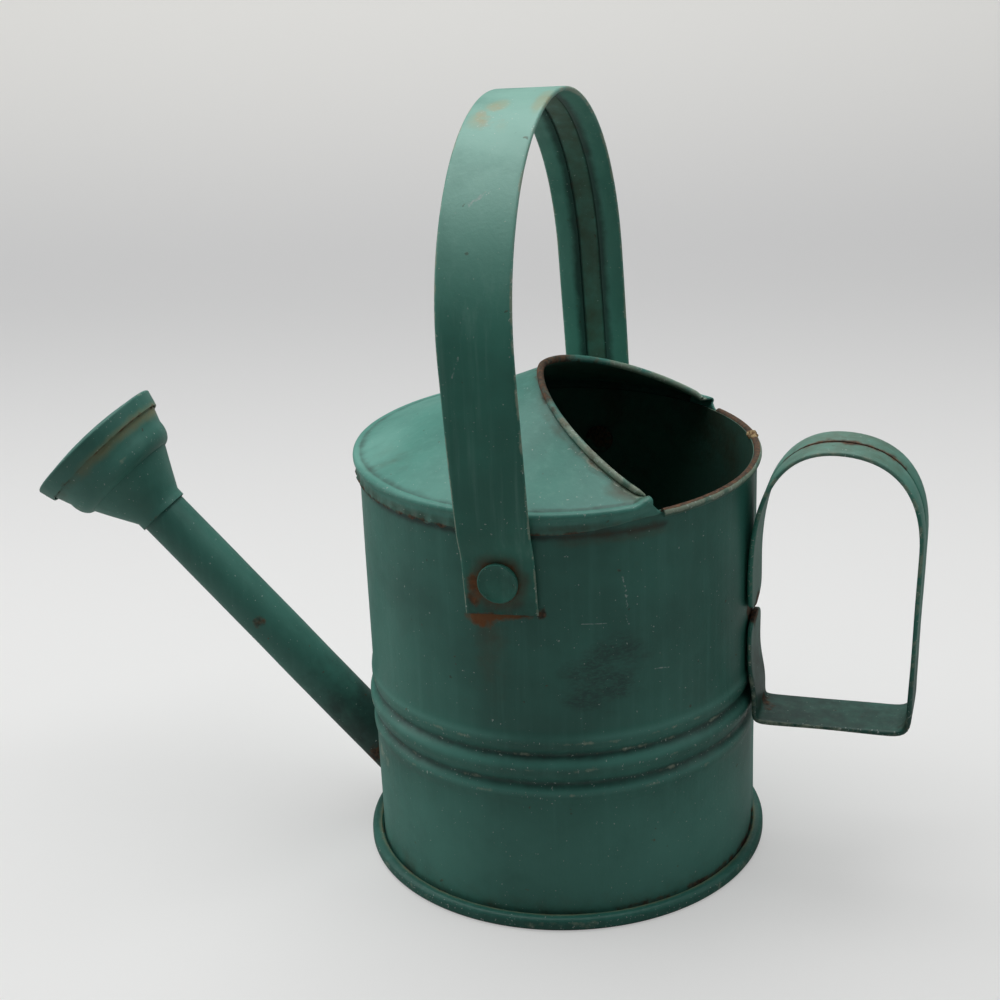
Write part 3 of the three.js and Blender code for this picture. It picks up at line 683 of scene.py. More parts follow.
def dry_crust(name):
    """A pale tan lump of lime and rust on the rim."""
    material, tree, shader, place = new_finish(name)
    fine = grain(tree, place, 900, 4)
    tone = mixed(tree, window(tree, fine, 0.4, 0.65), CRUST_DARK, CRUST_PALE)
    tree.links.new(tone, shader.inputs["Base Color"])
    shader.inputs["Roughness"].default_value = 0.9
    return material


body_paint = weathered_paint("body_paint", srgb(52, 120, 106), srgb(84, 150, 136), 0.4, WALL_SCRATCHES)
cover_paint = weathered_paint("cover_paint", srgb(70, 150, 134), srgb(116, 178, 164), 0.38)
strap_paint = weathered_paint("strap_paint", srgb(58, 138, 120), srgb(136, 188, 173), 0.4, STRAP_SCRATCHES)
spout_paint = weathered_paint("spout_paint", srgb(58, 118, 106), srgb(88, 148, 134), 0.42)
tank_inside = dark_inside("tank_inside")
tan_crust = dry_crust("tan_crust")


# Wall

def wall_radius(z):
    rise = 0
    for centre, half, height in BEADS:
        off = min(abs(z - centre) / half, 1)
        rise += height * (1 + math.cos(math.pi * off)) / 2
    return BODY_RADIUS + rise


def at_heights(co, heights, reach):
    return max(1 - abs(co.z - z) / reach for z in heights)


def from_spout_root(co):
    return (co - Vector(SPOUT_ROOT)).length


def azimuth(co):
    """Degrees round the can, from its near side toward the rear handle."""
    return math.degrees(math.atan2(co.x, -co.y))


def wall_shade_and_grime(co):
    # Painted shade in the grooves and a painted shadow under the cover's skirt; darker also just above the
    # foot and round the spout's root
    grooves = 0.7 * at_heights(co, GROOVES, 3)
    under_skirt = 0.8 * near(co.z, 136.6, 0.4, 3.2) * (co.x < SKIRT_SHADE_X)
    at_foot = 0.5 * fade_out(co.z, 5, 9)
    at_spout = 0.8 * fade_out(from_spout_root(co), 14, 24)
    return max(grooves, under_skirt, at_foot, at_spout)


def wall_rust(co):
    at_foot = (0.4 + 0.25 * smooth_step(co.x, 10, 50)) * fade_out(co.z, 4.6, 6.6)
    under_strap = 0 if co.y > 0 else blots(co, WALL_STRAP_RUST)
    behind_handle = blots(co, WALL_HANDLE_RUST)
    rim_top = smooth_step(co.z, 139.9, 140.8) * fade_out(co.xy.length, 66.4, 67.0) * (co.x > RIM_SHOWS_X)
    return max(at_foot, under_strap, behind_handle, rim_top)


def wall_stain(co):
    if co.y > 0:
        return 0.3 * fade_out(co.z, 6, 22)
    run = 0.62 * near(azimuth(co), -4.5, 0, 10) * smooth_step(co.z, 56, 104) * fade_out(co.z, 106, 112)
    spill = 0.35 * fade_out(co.z, 6, 18)
    lip_drip = 0.6 * near(azimuth(co), 30, 9.6, 24) * near(co.z, 135.5, 1, 5)
    rim_edge = 0.6 * smooth_step(co.z, 138.6, 139.6) * (co.x > RIM_SHOWS_X)
    return max(run, spill, lip_drip, rim_edge)


def wall_wear(co):
    crests = 0.5 * at_heights(co, CHIPPED, 2.4)
    rim_side = smooth_step(co.z, 139.2, 140.6) * smooth_step(co.xy.length, 65.4, 66.4)
    return max(crests, blots(co, WALL_SCUFF), 0.75 * rim_side * (co.x > RIM_WORN_X))


def wall_chalk_and_highlight(co):
    # Chalky paint, paler toward the spout side and low down; on the beads' upper slopes a painted highlight
    front = 0.2 + 0.35 * smooth_step(-co.x, 20, 60)
    low = (0.75 + 0.25 * smooth_step(abs(co.x), 15, 55)) * fade_out(co.z, 20, 64)
    return max(front, low, 0.9 * at_heights(co, HIGHLIT_SLOPES, 2.6))


def rim_crust():
    """The lump of dried crust that sits on the rim's far side."""
    bm = bmesh.new()
    turn = Matrix.Rotation(math.radians(CRUST_ANGLE), 4, "Z")
    lump = turn @ Matrix.Translation(CRUST_SEAT) @ Matrix.Diagonal(CRUST_STRETCH)
    bmesh.ops.create_icosphere(bm, subdivisions=4, radius=CRUST_RADIUS, matrix=lump)
    wobble(bm, size=1.1, amount=0.7)
    for face in bm.faces:
        face.material_index = 2
    return bm


def make_wall():
    low, high = BEAD_ZONE
    heights = [WALL_FOOT] + ramp_points(WALL_CLEAR_OF_FOOT, low, 16)
    heights += ramp_points(low, high, 62)[1:] + ramp_points(high, BODY_HEIGHT, 30)[1:]
    outside = [(wall_radius(z), z) for z in heights]
    inside = [(wall_radius(z) - SHEET, z) for z in reversed(heights[::3] + [BODY_HEIGHT])]
    bm = spun(outside + inside, FACETS)
    for vert in bm.verts:
        angle = math.degrees(math.atan2(vert.co.y, vert.co.x)) - SEAM_ANGLE
        off = abs(math.radians(angle)) * BODY_RADIUS
        share = fade_out(off, SEAM_HALF_WIDTH - SEAM_EDGE, SEAM_HALF_WIDTH)
        radius = math.hypot(vert.co.x, vert.co.y)
        if share > 0 and vert.co.z < SEAM_TOP and radius > wall_radius(vert.co.z) - SHEET / 2:
            vert.co.xy *= (radius + SEAM_RISE * share) / radius
    wobble(bm, size=26, amount=0.16)
    bore = bmesh.new()
    add_cylinder(bore, SPOUT_RADIUS + GAP, BORE_DEPTH, 64, SPOUT)
    bm = cut_away(bm, bore)
    for face in bm.faces:
        centre = face.calc_center_median()
        face.material_index = int(centre.xy.length < wall_radius(centre.z) - SHEET / 2)
    centre = (BODY_RADIUS - SHEET + RIM_CURL, BODY_HEIGHT - SHEET)
    curl = arc(centre, RIM_CURL, RIM_CURL_TAIL, 180, 16)
    curl += arc(centre, RIM_CURL - SHEET, 180, RIM_CURL_TAIL, 16)
    join(bm, spun(curl, 60, 2 * RIM_HALF_ANGLE, -RIM_HALF_ANGLE), rim_crust())
    paint(bm, "shade_and_grime", wall_shade_and_grime)
    paint(bm, "rust", wall_rust)
    paint(bm, "stain", wall_stain)
    paint(bm, "orange", lambda co: blots(co, WALL_ORANGE))
    paint(bm, "smudge", lambda co: blots(co, WALL_SMUDGE))
    paint(bm, "wear", wall_wear)
    paint(bm, "chalk_and_highlight", wall_chalk_and_highlight)
    piece_from(bm, "wall", "body_shell", "can", [body_paint, tank_inside, tan_crust])


def make_base():
    edge = BODY_RADIUS - SHEET - GAP
    under = edge - SHEET
    mouth = BODY_RADIUS + GAP
    floor = PANEL_RAISE + SHEET
    turn = FOOT_RADIUS - FOOT_ROUND
    profile = [(0, PANEL_RAISE), (PANEL_RING, PANEL_RAISE), (under - PANEL_EDGE_RUN, PANEL_RAISE)]
    profile += [(under, PANEL_RAISE - PANEL_EDGE_DROP), (under, FOOT_CHAMFER), (under + FOOT_CHAMFER, 0)]
    profile += arc((turn, FOOT_ROUND), FOOT_ROUND, -90, 0, 8)
    profile += arc((turn, FOOT_HEIGHT - FOOT_ROUND), FOOT_ROUND, 0, 90, 8)
    profile += [(mouth + FOLD_ROUND, FOOT_HEIGHT - FOLD_DIP), (mouth, FOOT_HEIGHT - FOLD_DIP - FOLD_ROUND)]
    profile += [(mouth, FLANGE_HIGH), (mouth + FLANGE_REACH, FLANGE_HIGH), (mouth + FLANGE_REACH, FLANGE_LOW)]
    profile += [(edge, FLANGE_LOW), (edge, floor), (0, floor)]
    bm = spun(profile, FACETS, closed=False)

    def rust(co):
        at_fold = 0.5 * fade_out(co.xy.length, 66, 67.2) * (co.z > 2)
        return at_fold + 0.35 * (co.z < 0.8)

    paint(bm, "rust", rust)
    paint(bm, "tan", lambda co: 0.75 * fade_out(co.xy.length, 65.8, 67.0) * (co.z > 4))
    paint(bm, "wear", lambda co: 0.45 * smooth_step(co.xy.length, 68.5, 69.2))
    paint(bm, "shade_and_grime", lambda co: 0.6 * (co.z < 1.2))
    for face in bm.faces:
        centre = face.calc_center_median()
        face.material_index = int(centre.z > PANEL_RAISE + SHEET / 2 and centre.xy.length < edge)
    piece_from(bm, "base", "base_pan", "can", [body_paint, tank_inside])


# Cover

def mouth_point(turn):
    """A point on the mouth's edge, from its far end at 0 over the apex to its near end at pi."""
    power = 2 / MOUTH_FULLNESS
    climb = abs(math.sin(turn)) ** power
    across = math.copysign(abs(math.cos(turn)) ** power, math.cos(turn))
    end_x, half_width, end_z = MOUTH_END
    apex_x, apex_z = MOUTH_APEX
    return Vector((end_x + (apex_x - end_x) * climb, half_width * across, end_z + (apex_z - end_z) * climb))


def crimp(angle):
    """How strongly the skirt's edge is puckered: most at the near left, where it was hammered down."""
    return CRIMP_LEAST + (1 - CRIMP_LEAST) * smooth_step(angle, *CRIMP_STARTS) * fade_out(angle, *CRIMP_ENDS)


def cover_station(angle, turn):
    """The sheet's line at one angle: up the skirt, round the lip, up the hood and round the mouth's curl."""
    side = 1 if angle < 180 else -1
    from_end = 180 - abs(angle - 180) - COVER_OPEN_ANGLE
    ear = fade_out(from_end, 0, EAR_SPAN)
    rise = EAR_RISE * ear * (EAR_FAR_SHARE if side > 0 else 1)

    def at(radius, z, lifted):
        a = math.radians(angle + side * EAR_SLANT * ear * lifted)
        return Vector((radius * math.cos(a), radius * math.sin(a), z + rise * lifted))

    skirt = BODY_RADIUS + GAP + SHEET / 2
    beat = math.sin(math.radians(angle * CRIMPS)) + 0.6 * noise.noise(Vector((angle * 0.3, 3.1, 0.7)))
    pucker = crimp(angle) * beat
    low = SKIRT_LOW + SKIRT_END_RISE * fade_out(from_end, 0, SKIRT_END_SPAN) + PUCKER_DROP * pucker
    high = LIP_Z - 2 * LIP_FOLD
    station = []
    for t in SKIRT_ROWS:
        bulge = (PUCKER_BULGE * pucker + CRIMP_BULGE * crimp(angle)) * (1 - t) ** 1.5
        station.append(at(skirt + bulge, low + (high - low) * t, t / 2))
    fold = LIP_RADIUS - SHEET / 2 - LIP_FOLD
    station += [at(r, z, 1) for r, z in arc((fold, LIP_Z), LIP_FOLD, LIP_FOLD_FROM, 90, 9)]
    foot = at(fold - LIP_FLAT, LIP_Z + LIP_FOLD, 1)
    edge = mouth_point(turn)
    sag = HOOD_SAG * math.sin(turn)
    for t in ramp_points(0, 1, HOOD_ROWS):
        station.append(foot.lerp(edge, t) - Vector((0, 0, sag * math.sin(math.pi * t))))
    curl = MOUTH_CURL * (1 + (EAR_CURL_SHARE - 1) * ear)
    inward = (edge - foot).normalized()
    run = mouth_point(turn + 0.01) - mouth_point(turn - 0.01)
    outward = run.cross(inward).normalized()
    centre = edge + outward * curl
    for lift in ramp_points(CURL_FROM, CURL_TO, CURL_POINTS):
        a = math.radians(lift)
        station.append(centre + curl * (inward * math.sin(a) - outward * math.cos(a)))
    return station


def make_cover():
    stations = []
    for i in range(COVER_STEPS + 1):
        share = i / COVER_STEPS
        angle = COVER_OPEN_ANGLE + (360 - 2 * COVER_OPEN_ANGLE) * share
        stations.append(cover_station(angle, math.pi * min(max(share, 1e-4), 1 - 1e-4)))
    rows = [list(row) for row in zip(*stations)]
    bm = lofted(rows)
    bmesh.ops.recalc_face_normals(bm, faces=bm.faces)
    if sum(f.normal.z for f in bm.faces if f.calc_center_median().z > EAR_TOP + 1) < 0:
        bmesh.ops.reverse_faces(bm, faces=bm.faces)
    wobble(bm, size=30, amount=0.25)
    mouth = [mouth_point(math.pi * k / MOUTH_SAMPLES) for k in range(MOUTH_SAMPLES + 1)]

    def from_mouth(co):
        return min((co - p).length for p in mouth)

    def rust(co):
        front_left = 0.4 + 0.38 * smooth_step(-co.x, -12, 2) * fade_out(co.y, 12, 34)
        skirt = 0.72 * fade_out(co.z, 137.4, 139.6)
        return max(fade_out(from_mouth(co), 2.0, 3.4) * front_left, skirt)

    def wear(co):
        lip = 0.4 * near(co.z, LIP_Z, 0.3, 1.6) * smooth_step(co.xy.length, 65.5, 66.6)
        return max(lip, 0.72 * fade_out(from_mouth(co), 2.0, 3.2) * smooth_step(co.x, -2, 16))

    def shade_and_grime(co):
        # Painted shade just inside the lip, a painted shadow on the hood beside the mouth's curl, and darker
        # low on the skirt
        hood_foot = 0.6 * near(co.xy.length, 64, 0.4, 1.6) * (co.z < 146)
        beside_curl = 0.45 * fade_out(from_mouth(co), 2.4, 6.5) * smooth_step(from_mouth(co), 2.2, 2.6)
        return max(hood_foot, beside_curl, 0.45 * fade_out(co.z, 139, 142))

    def stain(co):
        skirt = 0.55 * fade_out(co.z, 139.5, 142) * (co.y < 0)
        beside_curl = 0.5 * fade_out(from_mouth(co), 2.6, 6) * (co.y < 10)
        return max(blots(co, HOOD_STAIN), skirt, beside_curl)

    paint(bm, "rust", rust)
    paint(bm, "wear", wear)
    paint(bm, "shade_and_grime", shade_and_grime)
    paint(bm, "stain", stain)
    paint(bm, "chalk_and_highlight", lambda co: 0.25 + blots(co, HOOD_CHALK))
    bm.faces.index_update()
    for face in bm.faces:
        centre = face.calc_center_median()
        if centre.z < EAR_TOP and centre.x > EAR_FRONT:
            face.material_index = 3
        elif face.index // COVER_STEPS >= len(rows) - CURL_POINTS - 1:
            face.material_index = 1
    # The sheet's back takes the next finish on the list: the curl shows its back, the ears both sides
    finishes = [cover_paint, tank_inside, cover_paint, cover_paint, cover_paint]
    cover = piece_from(bm, "cover", "top_cover", "can", finishes, crease=60)
    shell = cover.modifiers.new("sheet", "SOLIDIFY")
    shell.thickness = SHEET * MM
    shell.offset = 0
    shell.material_offset = 1
    shell.material_offset_rim = 0


# Bail and rivets

def strap_section(width, channel):
    """Half-round folded edges, and a channel between the two hems on the side of negative x."""
    half = STRAP / 2
    edge = width / 2 - half
    lap = channel / 2
    hem = [(-half, (edge + lap) / 2), (-half, lap + HEM_ROUND), (HEM_EASE - half, lap)]
    hem += [(HEM_STEP - half, lap - 0.1)]
    section = [(half, y) for y in ramp_points(-edge, edge, 29)]
    section += arc((0, edge), half, 0, 180, 7)[1:] + hem
    section += [(HEM_STEP - half - 0.15, y) for y in ramp_points(lap - 0.4, 0.4 - lap, 9)]
    section += [(x, -y) for x, y in reversed(hem)] + arc((0, -edge), half, 180, 360, 7)[:-1]
    return section


def path_frames(points, lift, side, widths):
    """Frames along a plane path: x is the path's left or right side, y the strap's width, z its run."""
    frames = []
    for i, point in enumerate(points):
        run = (Vector(points[min(i + 1, len(points) - 1)]) - Vector(points[max(i - 1, 0)])).normalized()
        across = lift((-run.y * side, run.x * side))
        width_axis = lift(tuple(run)).cross(across)
        frame_matrix = Matrix((across, width_axis * widths[i], lift(tuple(run)))).transposed().to_4x4()
        frame_matrix.translation = lift(point)
        frames.append(frame_matrix)
    return frames


def bail_points():
    """The bail's path across and up: tail, set outward past the lip, leg, and half of the arch, mirrored."""
    foot_top = RIVET_HEAD - GAP
    set_top = foot_top + BAIL_SET
    left = [(-STRAP_ON_WALL, z) for z in ramp_points(-BAIL_TAIL, foot_top, 26)]
    left += bezier(
        (-STRAP_ON_WALL, foot_top), (-STRAP_ON_WALL, foot_top + 4),
        (GAP - BAIL_PAST_LIP, foot_top + 5), (-BAIL_PAST_LIP, set_top), 12,
    )[1:]
    left += bezier(
        (-BAIL_PAST_LIP, set_top), (-BAIL_PAST_LIP - GAP, set_top + 5),
        (-BAIL_SPREAD, BAIL_LEG / 2), (-BAIL_SPREAD, BAIL_LEG), 26,
    )[1:]
    for a in ramp_points(math.pi, math.pi / 2, 60)[1:]:
        left.append((BAIL_SPREAD * math.cos(a), BAIL_LEG + BAIL_ARCH_RISE * math.sin(a)))
    return left + [(-y, z) for y, z in reversed(left[:-1])]


def make_bail():
    points = bail_points()
    widths = [1 - BAIL_NARROWING * fade_out(z, 0, 60) for y, z in points]
    frames = path_frames(points, lambda p: Vector((0, p[0], p[1])), 1, widths)
    bm = swept(strap_section(BAIL_WIDTH, BAIL_RECESS), frames)
    wobble(bm, size=24, amount=0.06)
    half = BAIL_WIDTH / 2

    def from_rivet(co):
        return math.hypot(co.x, co.z)

    def from_hem(co):
        return abs(abs(co.x) - BAIL_RECESS / 2)

    def wear(co):
        return max(0.62 * smooth_step(abs(co.x), half - 1.5, half - 0.3), blots(co, BAIL_WORN))

    def rust(co):
        foot_end = 0.5 * fade_out(co.z, -10.6, -9.4)
        ring = 0.66 * fade_out(from_rivet(co), RIVET_HEAD, RIVET_HEAD + 2.6)
        return max(foot_end, ring, blots(co, BAIL_SMEAR))

    paint(bm, "wear", wear)
    paint(bm, "rust", rust)
    paint(bm, "orange", lambda co: 0.45 * fade_out(from_rivet(co), 8, 16))
    paint(bm, "shade_and_grime", lambda co: 0.5 * fade_out(co.z, -12, 20))
    paint(bm, "tan", lambda co: blots(co, BAIL_TAN), hem_side=False)
    # Paler toward the top of the arch: chalky worn paint and a painted highlight where the overhead light
    # falls
    paint(bm, "chalk_and_highlight", lambda co: smooth_step(co.z, BAIL_LEG * 0.9, BAIL_TOP), hem_side=False)
    paint(bm, "stain", lambda co: 0.95 * fade_out(from_rivet(co), 6, 13), hem_side=False)
    paint(bm, "chalk_and_highlight", lambda co: 0.4, hem_side=True)
    paint(bm, "shade_and_grime", lambda co: max(0.18, fade_out(from_hem(co), 0.3, 1)), hem_side=True)
    paint(bm, "stain", lambda co: 0.75 * fade_out(abs(co.x), 3, 3.8), hem_side=True)
    paint(bm, "rust", lambda co: 0.35 * fade_out(from_hem(co), 0.3, 1.2), hem_side=True)
    stand = Matrix.Translation(PIVOT) @ Matrix.Rotation(math.radians(-BAIL_LEAN), 4, "Y")
    piece_from(bm, "bail", "bail_strap", "bail", [strap_paint], place=stand)


def make_rivet(name, node, side):
    """A rivet: a hammered tail inside the wall, its shank, and a flat head with a slight dish."""
    tail = BODY_RADIUS - SHEET - 2 * GAP
    top = RIVET_HEAD_LOW + RIVET_HEAD_DEPTH
    profile = [(r, tail - depth) for r, depth in RIVET_TAIL]
    profile += [(RIVET_SHANK, tail), (RIVET_SHANK, RIVET_HEAD_LOW)]
    profile += [(RIVET_HEAD - RIVET_DRAFT, RIVET_HEAD_LOW)]
    profile += arc((RIVET_HEAD - RIVET_ROUND, top - RIVET_ROUND), RIVET_ROUND, -30, 130, 7)
    profile += [(RIVET_HEAD - inset, top - drop) for inset, drop in RIVET_DISH]
    bm = spun(profile, 64, closed=False)
    paint(bm, "wear", lambda co: 0.42 * near(co.xy.length, RIVET_HEAD - 0.5, 0.2, 0.8))
    paint(bm, "rust", lambda co: max(0.7 * (co.z < tail), 0.45 * near(co.xy.length, 4.7, 0.2, 1)))
    paint(bm, "shade_and_grime", lambda co: 0.4)
    turn = Matrix.Translation(PIVOT) @ Matrix.Rotation(side * math.pi / 2, 4, "X")
    piece_from(bm, name, node, "can", [strap_paint], crease=35, place=turn)


# Rear handle

def handle_points():
    """The handle's path out and up: off the wall, over the crown, down the grip, and back to the wall."""
    wall = STRAP_ON_WALL
    top = HANDLE_TOP
    bottom = HANDLE_BOTTOM
    grip = HANDLE_GRIP
    middle = wall + (grip - wall) * 0.5
    leave = (wall, top - 43)
    crown = (middle, top)
    shoulder = (grip, top - 32)
    turn_in = (grip - 1.4, bottom + 12.4)
    elbow = (grip - 1.4, bottom + 0.4)
    run_out = (grip - 12.4, bottom + 0.4)
    knee_from = (wall + 8, bottom)
    knee = (wall + 1.8, bottom)
    knee_to = (wall + 1.8, bottom + 6)
    landing = (wall, bottom + 24)
    points = [(wall, z) for z in ramp_points(HANDLE_UPPER_END, leave[1], 12)]
    points += bezier(leave, (wall + 0.5, top - 17), (middle - 19, top), crown, 26)[1:]
    points += bezier(crown, (middle + 18, top), (grip + 0.5, top - 12), shoulder, 22)[1:]
    points += straight(shoulder, turn_in, 14)[1:]
    points += bezier(turn_in, elbow, elbow, run_out, 12)[1:]
    points += straight(run_out, knee_from, 12)[1:]
    points += bezier(knee_from, knee, knee, knee_to, 10)[1:]
    points += bezier(knee_to, (wall + 1.8, bottom + 12), (wall, bottom + 16), landing, 12)[1:]
    points += [(wall, z) for z in ramp_points(landing[1], HANDLE_LOWER_END, 12)[1:]]
    return points


def tongue(distance):
    """The strap's share of its width near a rounded end."""
    share = min(max(distance / HANDLE_END_ROUND, 0.0), 1.0)
    return max(math.sqrt(1 - (1 - share) ** 2), HANDLE_END_LEAST)


def make_handle():
    points = handle_points()
    widths = []
    for i, (x, z) in enumerate(points):
        first = i < len(points) / 2
        distance = z - HANDLE_UPPER_END if first else HANDLE_LOWER_END - z
        on_wall = x < STRAP_ON_WALL + 2 * GAP
        widths.append(tongue(distance) if on_wall else 1)
    frames = path_frames(points, lambda p: Vector((p[0], 0, p[1])), -1, widths)
    bm = swept(strap_section(HANDLE_WIDTH, HANDLE_SEAM), frames)
    wobble(bm, size=22, amount=0.18)
    half = HANDLE_WIDTH / 2

    def rust(co):
        top_seam = 0.8 * fade_out(abs(co.y), 0.5, 1.6) * (co.z > 140)
        return max(top_seam, blots(co, HANDLE_RUST))

    paint(bm, "wear", lambda co: 0.55 * smooth_step(abs(co.y), half - 1.4, half - 0.3))
    paint(bm, "rust", rust)
    paint(bm, "chalk_and_highlight", lambda co: 0.55 * smooth_step(co.z, 128, 147))
    paint(bm, "shade_and_grime", lambda co: 0.68 * fade_out(co.z, 60, 110))
    paint(bm, "stain", lambda co: 0.6 * smooth_step(co.z, 132, 147))
    piece_from(bm, "handle", "rear_handle", "can", [strap_paint])


# Spout and rose

def make_spout():
    inside = SPOUT_RADIUS - SHEET
    heights = ramp_points(-SPOUT_TAIL, SPOUT_LENGTH + SPOUT_IN_ROSE, 60)
    bm = spun([(SPOUT_RADIUS, z) for z in heights] + [(inside, z) for z in reversed(heights[::6])], 72)
    wobble(bm, size=20, amount=0.12)
    bmesh.ops.transform(bm, matrix=SPOUT, verts=bm.verts)
    core = bmesh.new()
    add_cylinder(core, BODY_RADIUS - SHEET - 3 * GAP, 2 * BODY_HEIGHT, FACETS, Matrix())
    bm = cut_away(bm, core)
    paint(bm, "shade_and_grime", lambda co: 0.75 * fade_out(from_spout_root(co), 12, 64))
    paint(bm, "rust", lambda co: max(0.6 * fade_out(from_spout_root(co), 9, 15), blots(co, SPOUT_RUST)))
    paint(bm, "chalk_and_highlight", lambda co: 0.35)
    piece_from(bm, "spout", "spout_tube", "can", [spout_paint])


def rose_upper_side(co):
    return smooth_step(co.x, -12, 14)


def make_rose_cone():
    rim_back = ROSE_RIM_BACK
    bead_start = rim_back - ROSE_NECK - ROSE_BEAD_LENGTH
    bead = []
    for a in ramp_points(0, math.pi / 2, 10):
        radius = ROSE_THROAT_RADIUS - ROSE_BEAD_RISE * (1 - math.sin(a))
        bead.append((radius, bead_start + ROSE_BEAD_LENGTH * (1 - math.cos(a))))
    tucked = ROSE_RADIUS - SHEET - 2 * GAP
    inset, depth = ROSE_TUCK
    outside = [(COLLAR_RADIUS, z) for z in COLLAR_RINGS]
    outside += straight((COLLAR_RADIUS, COLLAR_LENGTH), bead[0], 6)[:-1] + bead
    outside += straight(bead[-1], (tucked - ROSE_RIM_TAPER, rim_back), 5)[1:]
    outside += [(tucked - inset, rim_back + depth)]
    bm = spun(outside + list(reversed(beside(outside, SHEET))), ROSE_FACETS)
    wobble(bm, size=16, amount=0.16)

    def rust(co):
        at_rim = 0.55 * smooth_step(co.z, rim_back - 1.6, rim_back - 0.2)
        return max(at_rim, 0.55 * near(co.z, 0.4, 0.2, 1.4))

    paint(bm, "rust", rust)
    paint(bm, "stain", lambda co: 0.5 * smooth_step(co.z, rim_back - 6.5, rim_back - 1))
    paint(bm, "tan", lambda co: 0.85 * smooth_step(co.z, rim_back - 5, rim_back - 1) * rose_upper_side(co))
    paint(bm, "wear", lambda co: 0.42 * near(co.z, rim_back - 8.2, 0.5, 2))
    paint(bm, "shade_and_grime", lambda co: 0.1)
    paint(bm, "chalk_and_highlight", lambda co: 0.7)
    piece_from(bm, "rose_sleeve", "rose_cone", "can", [spout_paint], 50, SPOUT_TIP)


def make_rose_face():
    rim_back = ROSE_RIM_BACK
    shoulder = ROSE_RADIUS - ROSE_RIM_ROUND
    outside = [(ROSE_RADIUS - ROSE_RIM_TAPER, rim_back), (shoulder, rim_back + 2.4)]
    outside += [(ROSE_RADIUS - 0.2, ROSE_LENGTH - 1)]
    outside += arc((shoulder, ROSE_LENGTH - 0.5), ROSE_RIM_ROUND, 10, 80, 5)
    sphere = (ROSE_RADIUS ** 2 + ROSE_DOME ** 2) / (2 * ROSE_DOME)
    for r in ramp_points(ROSE_RADIUS - 2 * ROSE_RIM_ROUND, 0, 12):
        outside.append((r, ROSE_LENGTH + ROSE_DOME - sphere + math.sqrt(sphere ** 2 - r * r)))
    inside = beside(outside, SHEET)
    inside[-1] = (0, ROSE_LENGTH + ROSE_DOME - SHEET)
    bm = spun(list(reversed(inside)) + outside, ROSE_FACETS, closed=False)
    spots = [(0, 0)]
    for ring in range(1, ROSE_HOLE_RINGS + 1):
        for k in range(6 * ring):
            a = 2 * math.pi * k / (6 * ring)
            spots.append((ring * ROSE_HOLE_PITCH * math.cos(a), ring * ROSE_HOLE_PITCH * math.sin(a)))
    holes = bmesh.new()
    for x, y in spots:
        place = Matrix.Translation((x, y, ROSE_LENGTH + ROSE_DOME / 2))
        add_cylinder(holes, ROSE_HOLE_RADIUS, ROSE_HOLE_DEPTH, 16, place)
    bm = cut_away(bm, holes)

    def rust(co):
        at_back = 0.5 * fade_out(co.z, rim_back, rim_back + 1)
        return max(at_back, 0.3 * near(co.z, ROSE_LENGTH, 0.2, 1), 0.1)

    paint(bm, "rust", rust)
    paint(bm, "wear", lambda co: 0.45 * near(co.z, ROSE_LENGTH - 0.4, 0.2, 1.2))
    paint(bm, "tan", lambda co: 0.7 * fade_out(co.z, rim_back, rim_back + 3) * rose_upper_side(co))
    paint(bm, "chalk_and_highlight", lambda co: 0.4)
    piece_from(bm, "rose_plate", "rose_face", "can", [spout_paint], 50, SPOUT_TIP)


# Stage, light and camera

def pale_paper():
    """Pale paper, which the camera sees half lit by the lamps and half as a painted glow, with a painted
    darker band behind the can, and which is held darker for the light that it throws back.
    """
    material, tree, shader, place = new_finish("pale_paper")
    tree.nodes.remove(shader)
    turn = (0, 0, -math.radians(CAMERA_AZIMUTH))
    depth = add_node(tree, "ShaderNodeMapping", {"Vector": place, "Rotation": turn})
    away = add_node(tree, "ShaderNodeSeparateXYZ", {0: depth.outputs[0]}).outputs[1]
    # Painted shade: a darker band across the paper behind the can, pale again in front and far back
    tone = mixed(tree, window(tree, away, *PAPER_DIMS), PAPER_FRONT, PAPER_PAINTED_SHADE)
    tone = mixed(tree, window(tree, away, *PAPER_CLEARS), tone, PAPER_BACK)
    seen = add_node(tree, "ShaderNodeBsdfDiffuse", {"Color": tone}).outputs[0]
    glow = add_node(tree, "ShaderNodeEmission", {"Color": tone, "Strength": PAPER_GLOW}).outputs[0]
    seen = add_node(tree, "ShaderNodeMixShader", {0: PAPER_GLOW_SHARE, 1: seen, 2: glow}).outputs[0]
    thrown = add_node(tree, "ShaderNodeBsdfDiffuse", {"Color": PAPER_THROWN}).outputs[0]
    camera_ray = tree.nodes.new("ShaderNodeLightPath").outputs["Is Camera Ray"]
    paper = add_node(tree, "ShaderNodeMixShader", {0: camera_ray, 1: thrown, 2: seen}).outputs[0]
    tree.links.new(paper, tree.nodes["Material Output"].inputs["Surface"])
    return material


def make_stage():
    """A pale seamless sweep: floor, soft bend and backdrop."""
    bm = bmesh.new()
    line = [(SWEEP_FRONT, 0), (SWEEP_BEND_FROM, 0)]
    line += arc((SWEEP_BEND_FROM, SWEEP_BEND), SWEEP_BEND, -90, 0, 24)[1:]
    line += [(SWEEP_BEND_FROM + SWEEP_BEND, SWEEP_TOP)]
    verts = [bm.verts.new((-SWEEP_HALF_WIDTH, y, z)) for y, z in line]
    edges = [bm.edges.new(pair) for pair in zip(verts, verts[1:])]
    far_verts = extruded(bm, edges)[1]
    bmesh.ops.translate(bm, verts=far_verts, vec=(2 * SWEEP_HALF_WIDTH, 0, 0))
    turn = Matrix.Rotation(math.radians(CAMERA_AZIMUTH), 3, "Z")
    bmesh.ops.rotate(bm, verts=bm.verts, cent=(0, 0, 0), matrix=turn)
    sweep = added("sweep", bm)
    sweep.data.shade_smooth()
    sweep.data.materials.append(pale_paper())


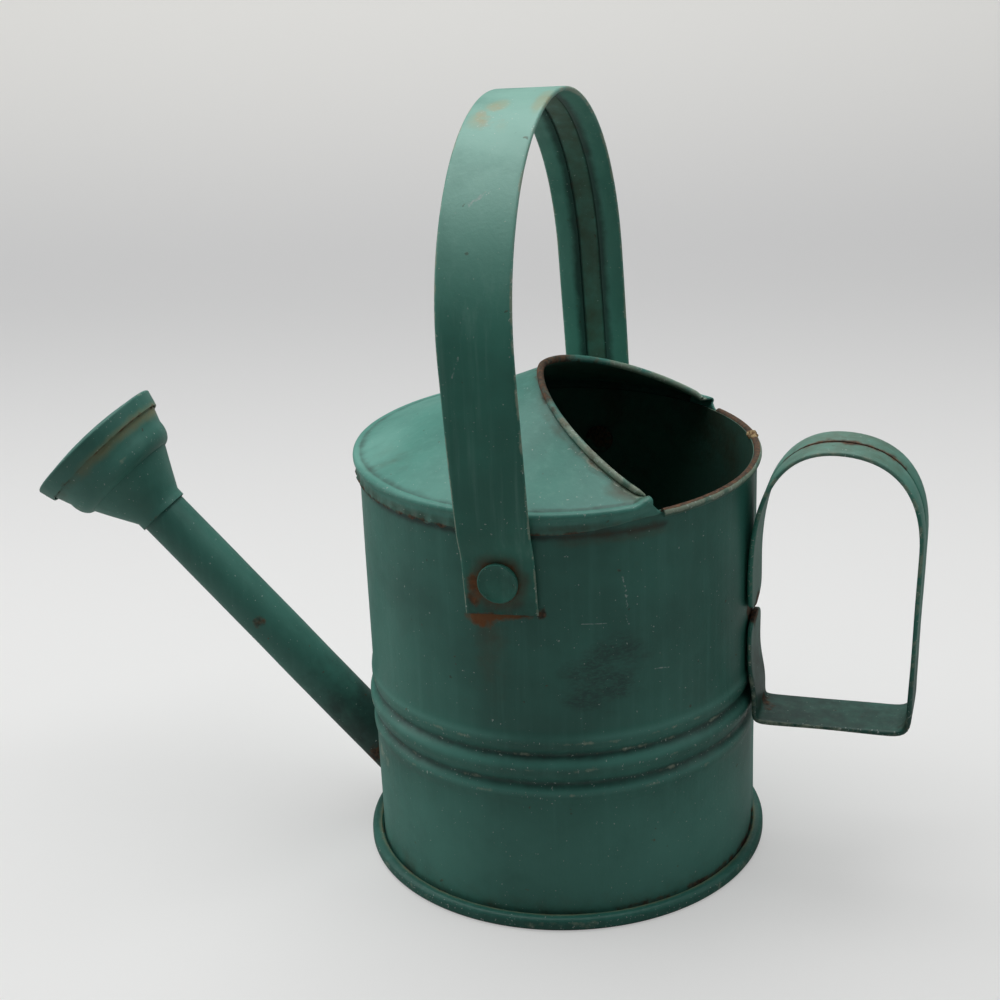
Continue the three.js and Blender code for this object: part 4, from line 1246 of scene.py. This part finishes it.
def add_softbox(name, at, aim, width, depth, power):
    data = bpy.data.lights.new(name, "AREA")
    data.shape = "RECTANGLE"
    data.size = width
    data.size_y = depth
    data.energy = power
    lamp = bpy.data.objects.new(name, data)
    lamp.location = at
    lamp.rotation_mode = "QUATERNION"
    lamp.rotation_quaternion = (Vector(aim) - Vector(at)).to_track_quat("-Z", "Y")
    bpy.context.scene.collection.objects.link(lamp)


def light_scene():
    for lamp in LAMPS:
        add_softbox(*lamp)
    world = bpy.data.worlds.new("studio")
    world.use_nodes = True
    tree = world.node_tree
    background = tree.nodes["Background"]
    background.inputs["Color"].default_value = SKY_COLOUR
    camera_ray = tree.nodes.new("ShaderNodeLightPath").outputs["Is Camera Ray"]
    level = times_plus(tree, camera_ray, SKY_SEEN - SKY_FILL, SKY_FILL)
    tree.links.new(level, background.inputs["Strength"])
    bpy.context.scene.world = world
    bpy.context.scene.view_settings.view_transform = "Standard"


def make_camera():
    pitch = math.radians(CAMERA_PITCH)
    yaw = math.radians(CAMERA_YAW)
    roll = math.radians(CAMERA_ROLL)
    turn = Matrix.Rotation(math.radians(CAMERA_AZIMUTH), 3, "Z")
    ahead = Vector((math.sin(yaw) * math.cos(pitch), math.cos(yaw) * math.cos(pitch), -math.sin(pitch)))
    forward = turn @ ahead
    level = turn @ Vector((math.cos(yaw), -math.sin(yaw), 0))
    rise = level.cross(forward)
    right = level * math.cos(roll) + rise * math.sin(roll)
    up = rise * math.cos(roll) - level * math.sin(roll)
    data = bpy.data.cameras.new("camera")
    data.lens = CAMERA_LENS
    data.sensor_width = CAMERA_SENSOR
    camera = bpy.data.objects.new("camera", data)
    placed = Matrix((right, up, -forward)).transposed().to_4x4()
    placed.translation = CAN @ CAMERA_AT
    camera.matrix_world = placed
    bpy.context.scene.collection.objects.link(camera)
    bpy.context.scene.camera = camera


make_wall()
make_base()
make_cover()
make_bail()
make_rivet("rivet_left", "bail_rivet_left", 1)
make_rivet("rivet_right", "bail_rivet_right", -1)
make_handle()
make_spout()
make_rose_cone()
make_rose_face()
make_stage()
light_scene()
make_camera()
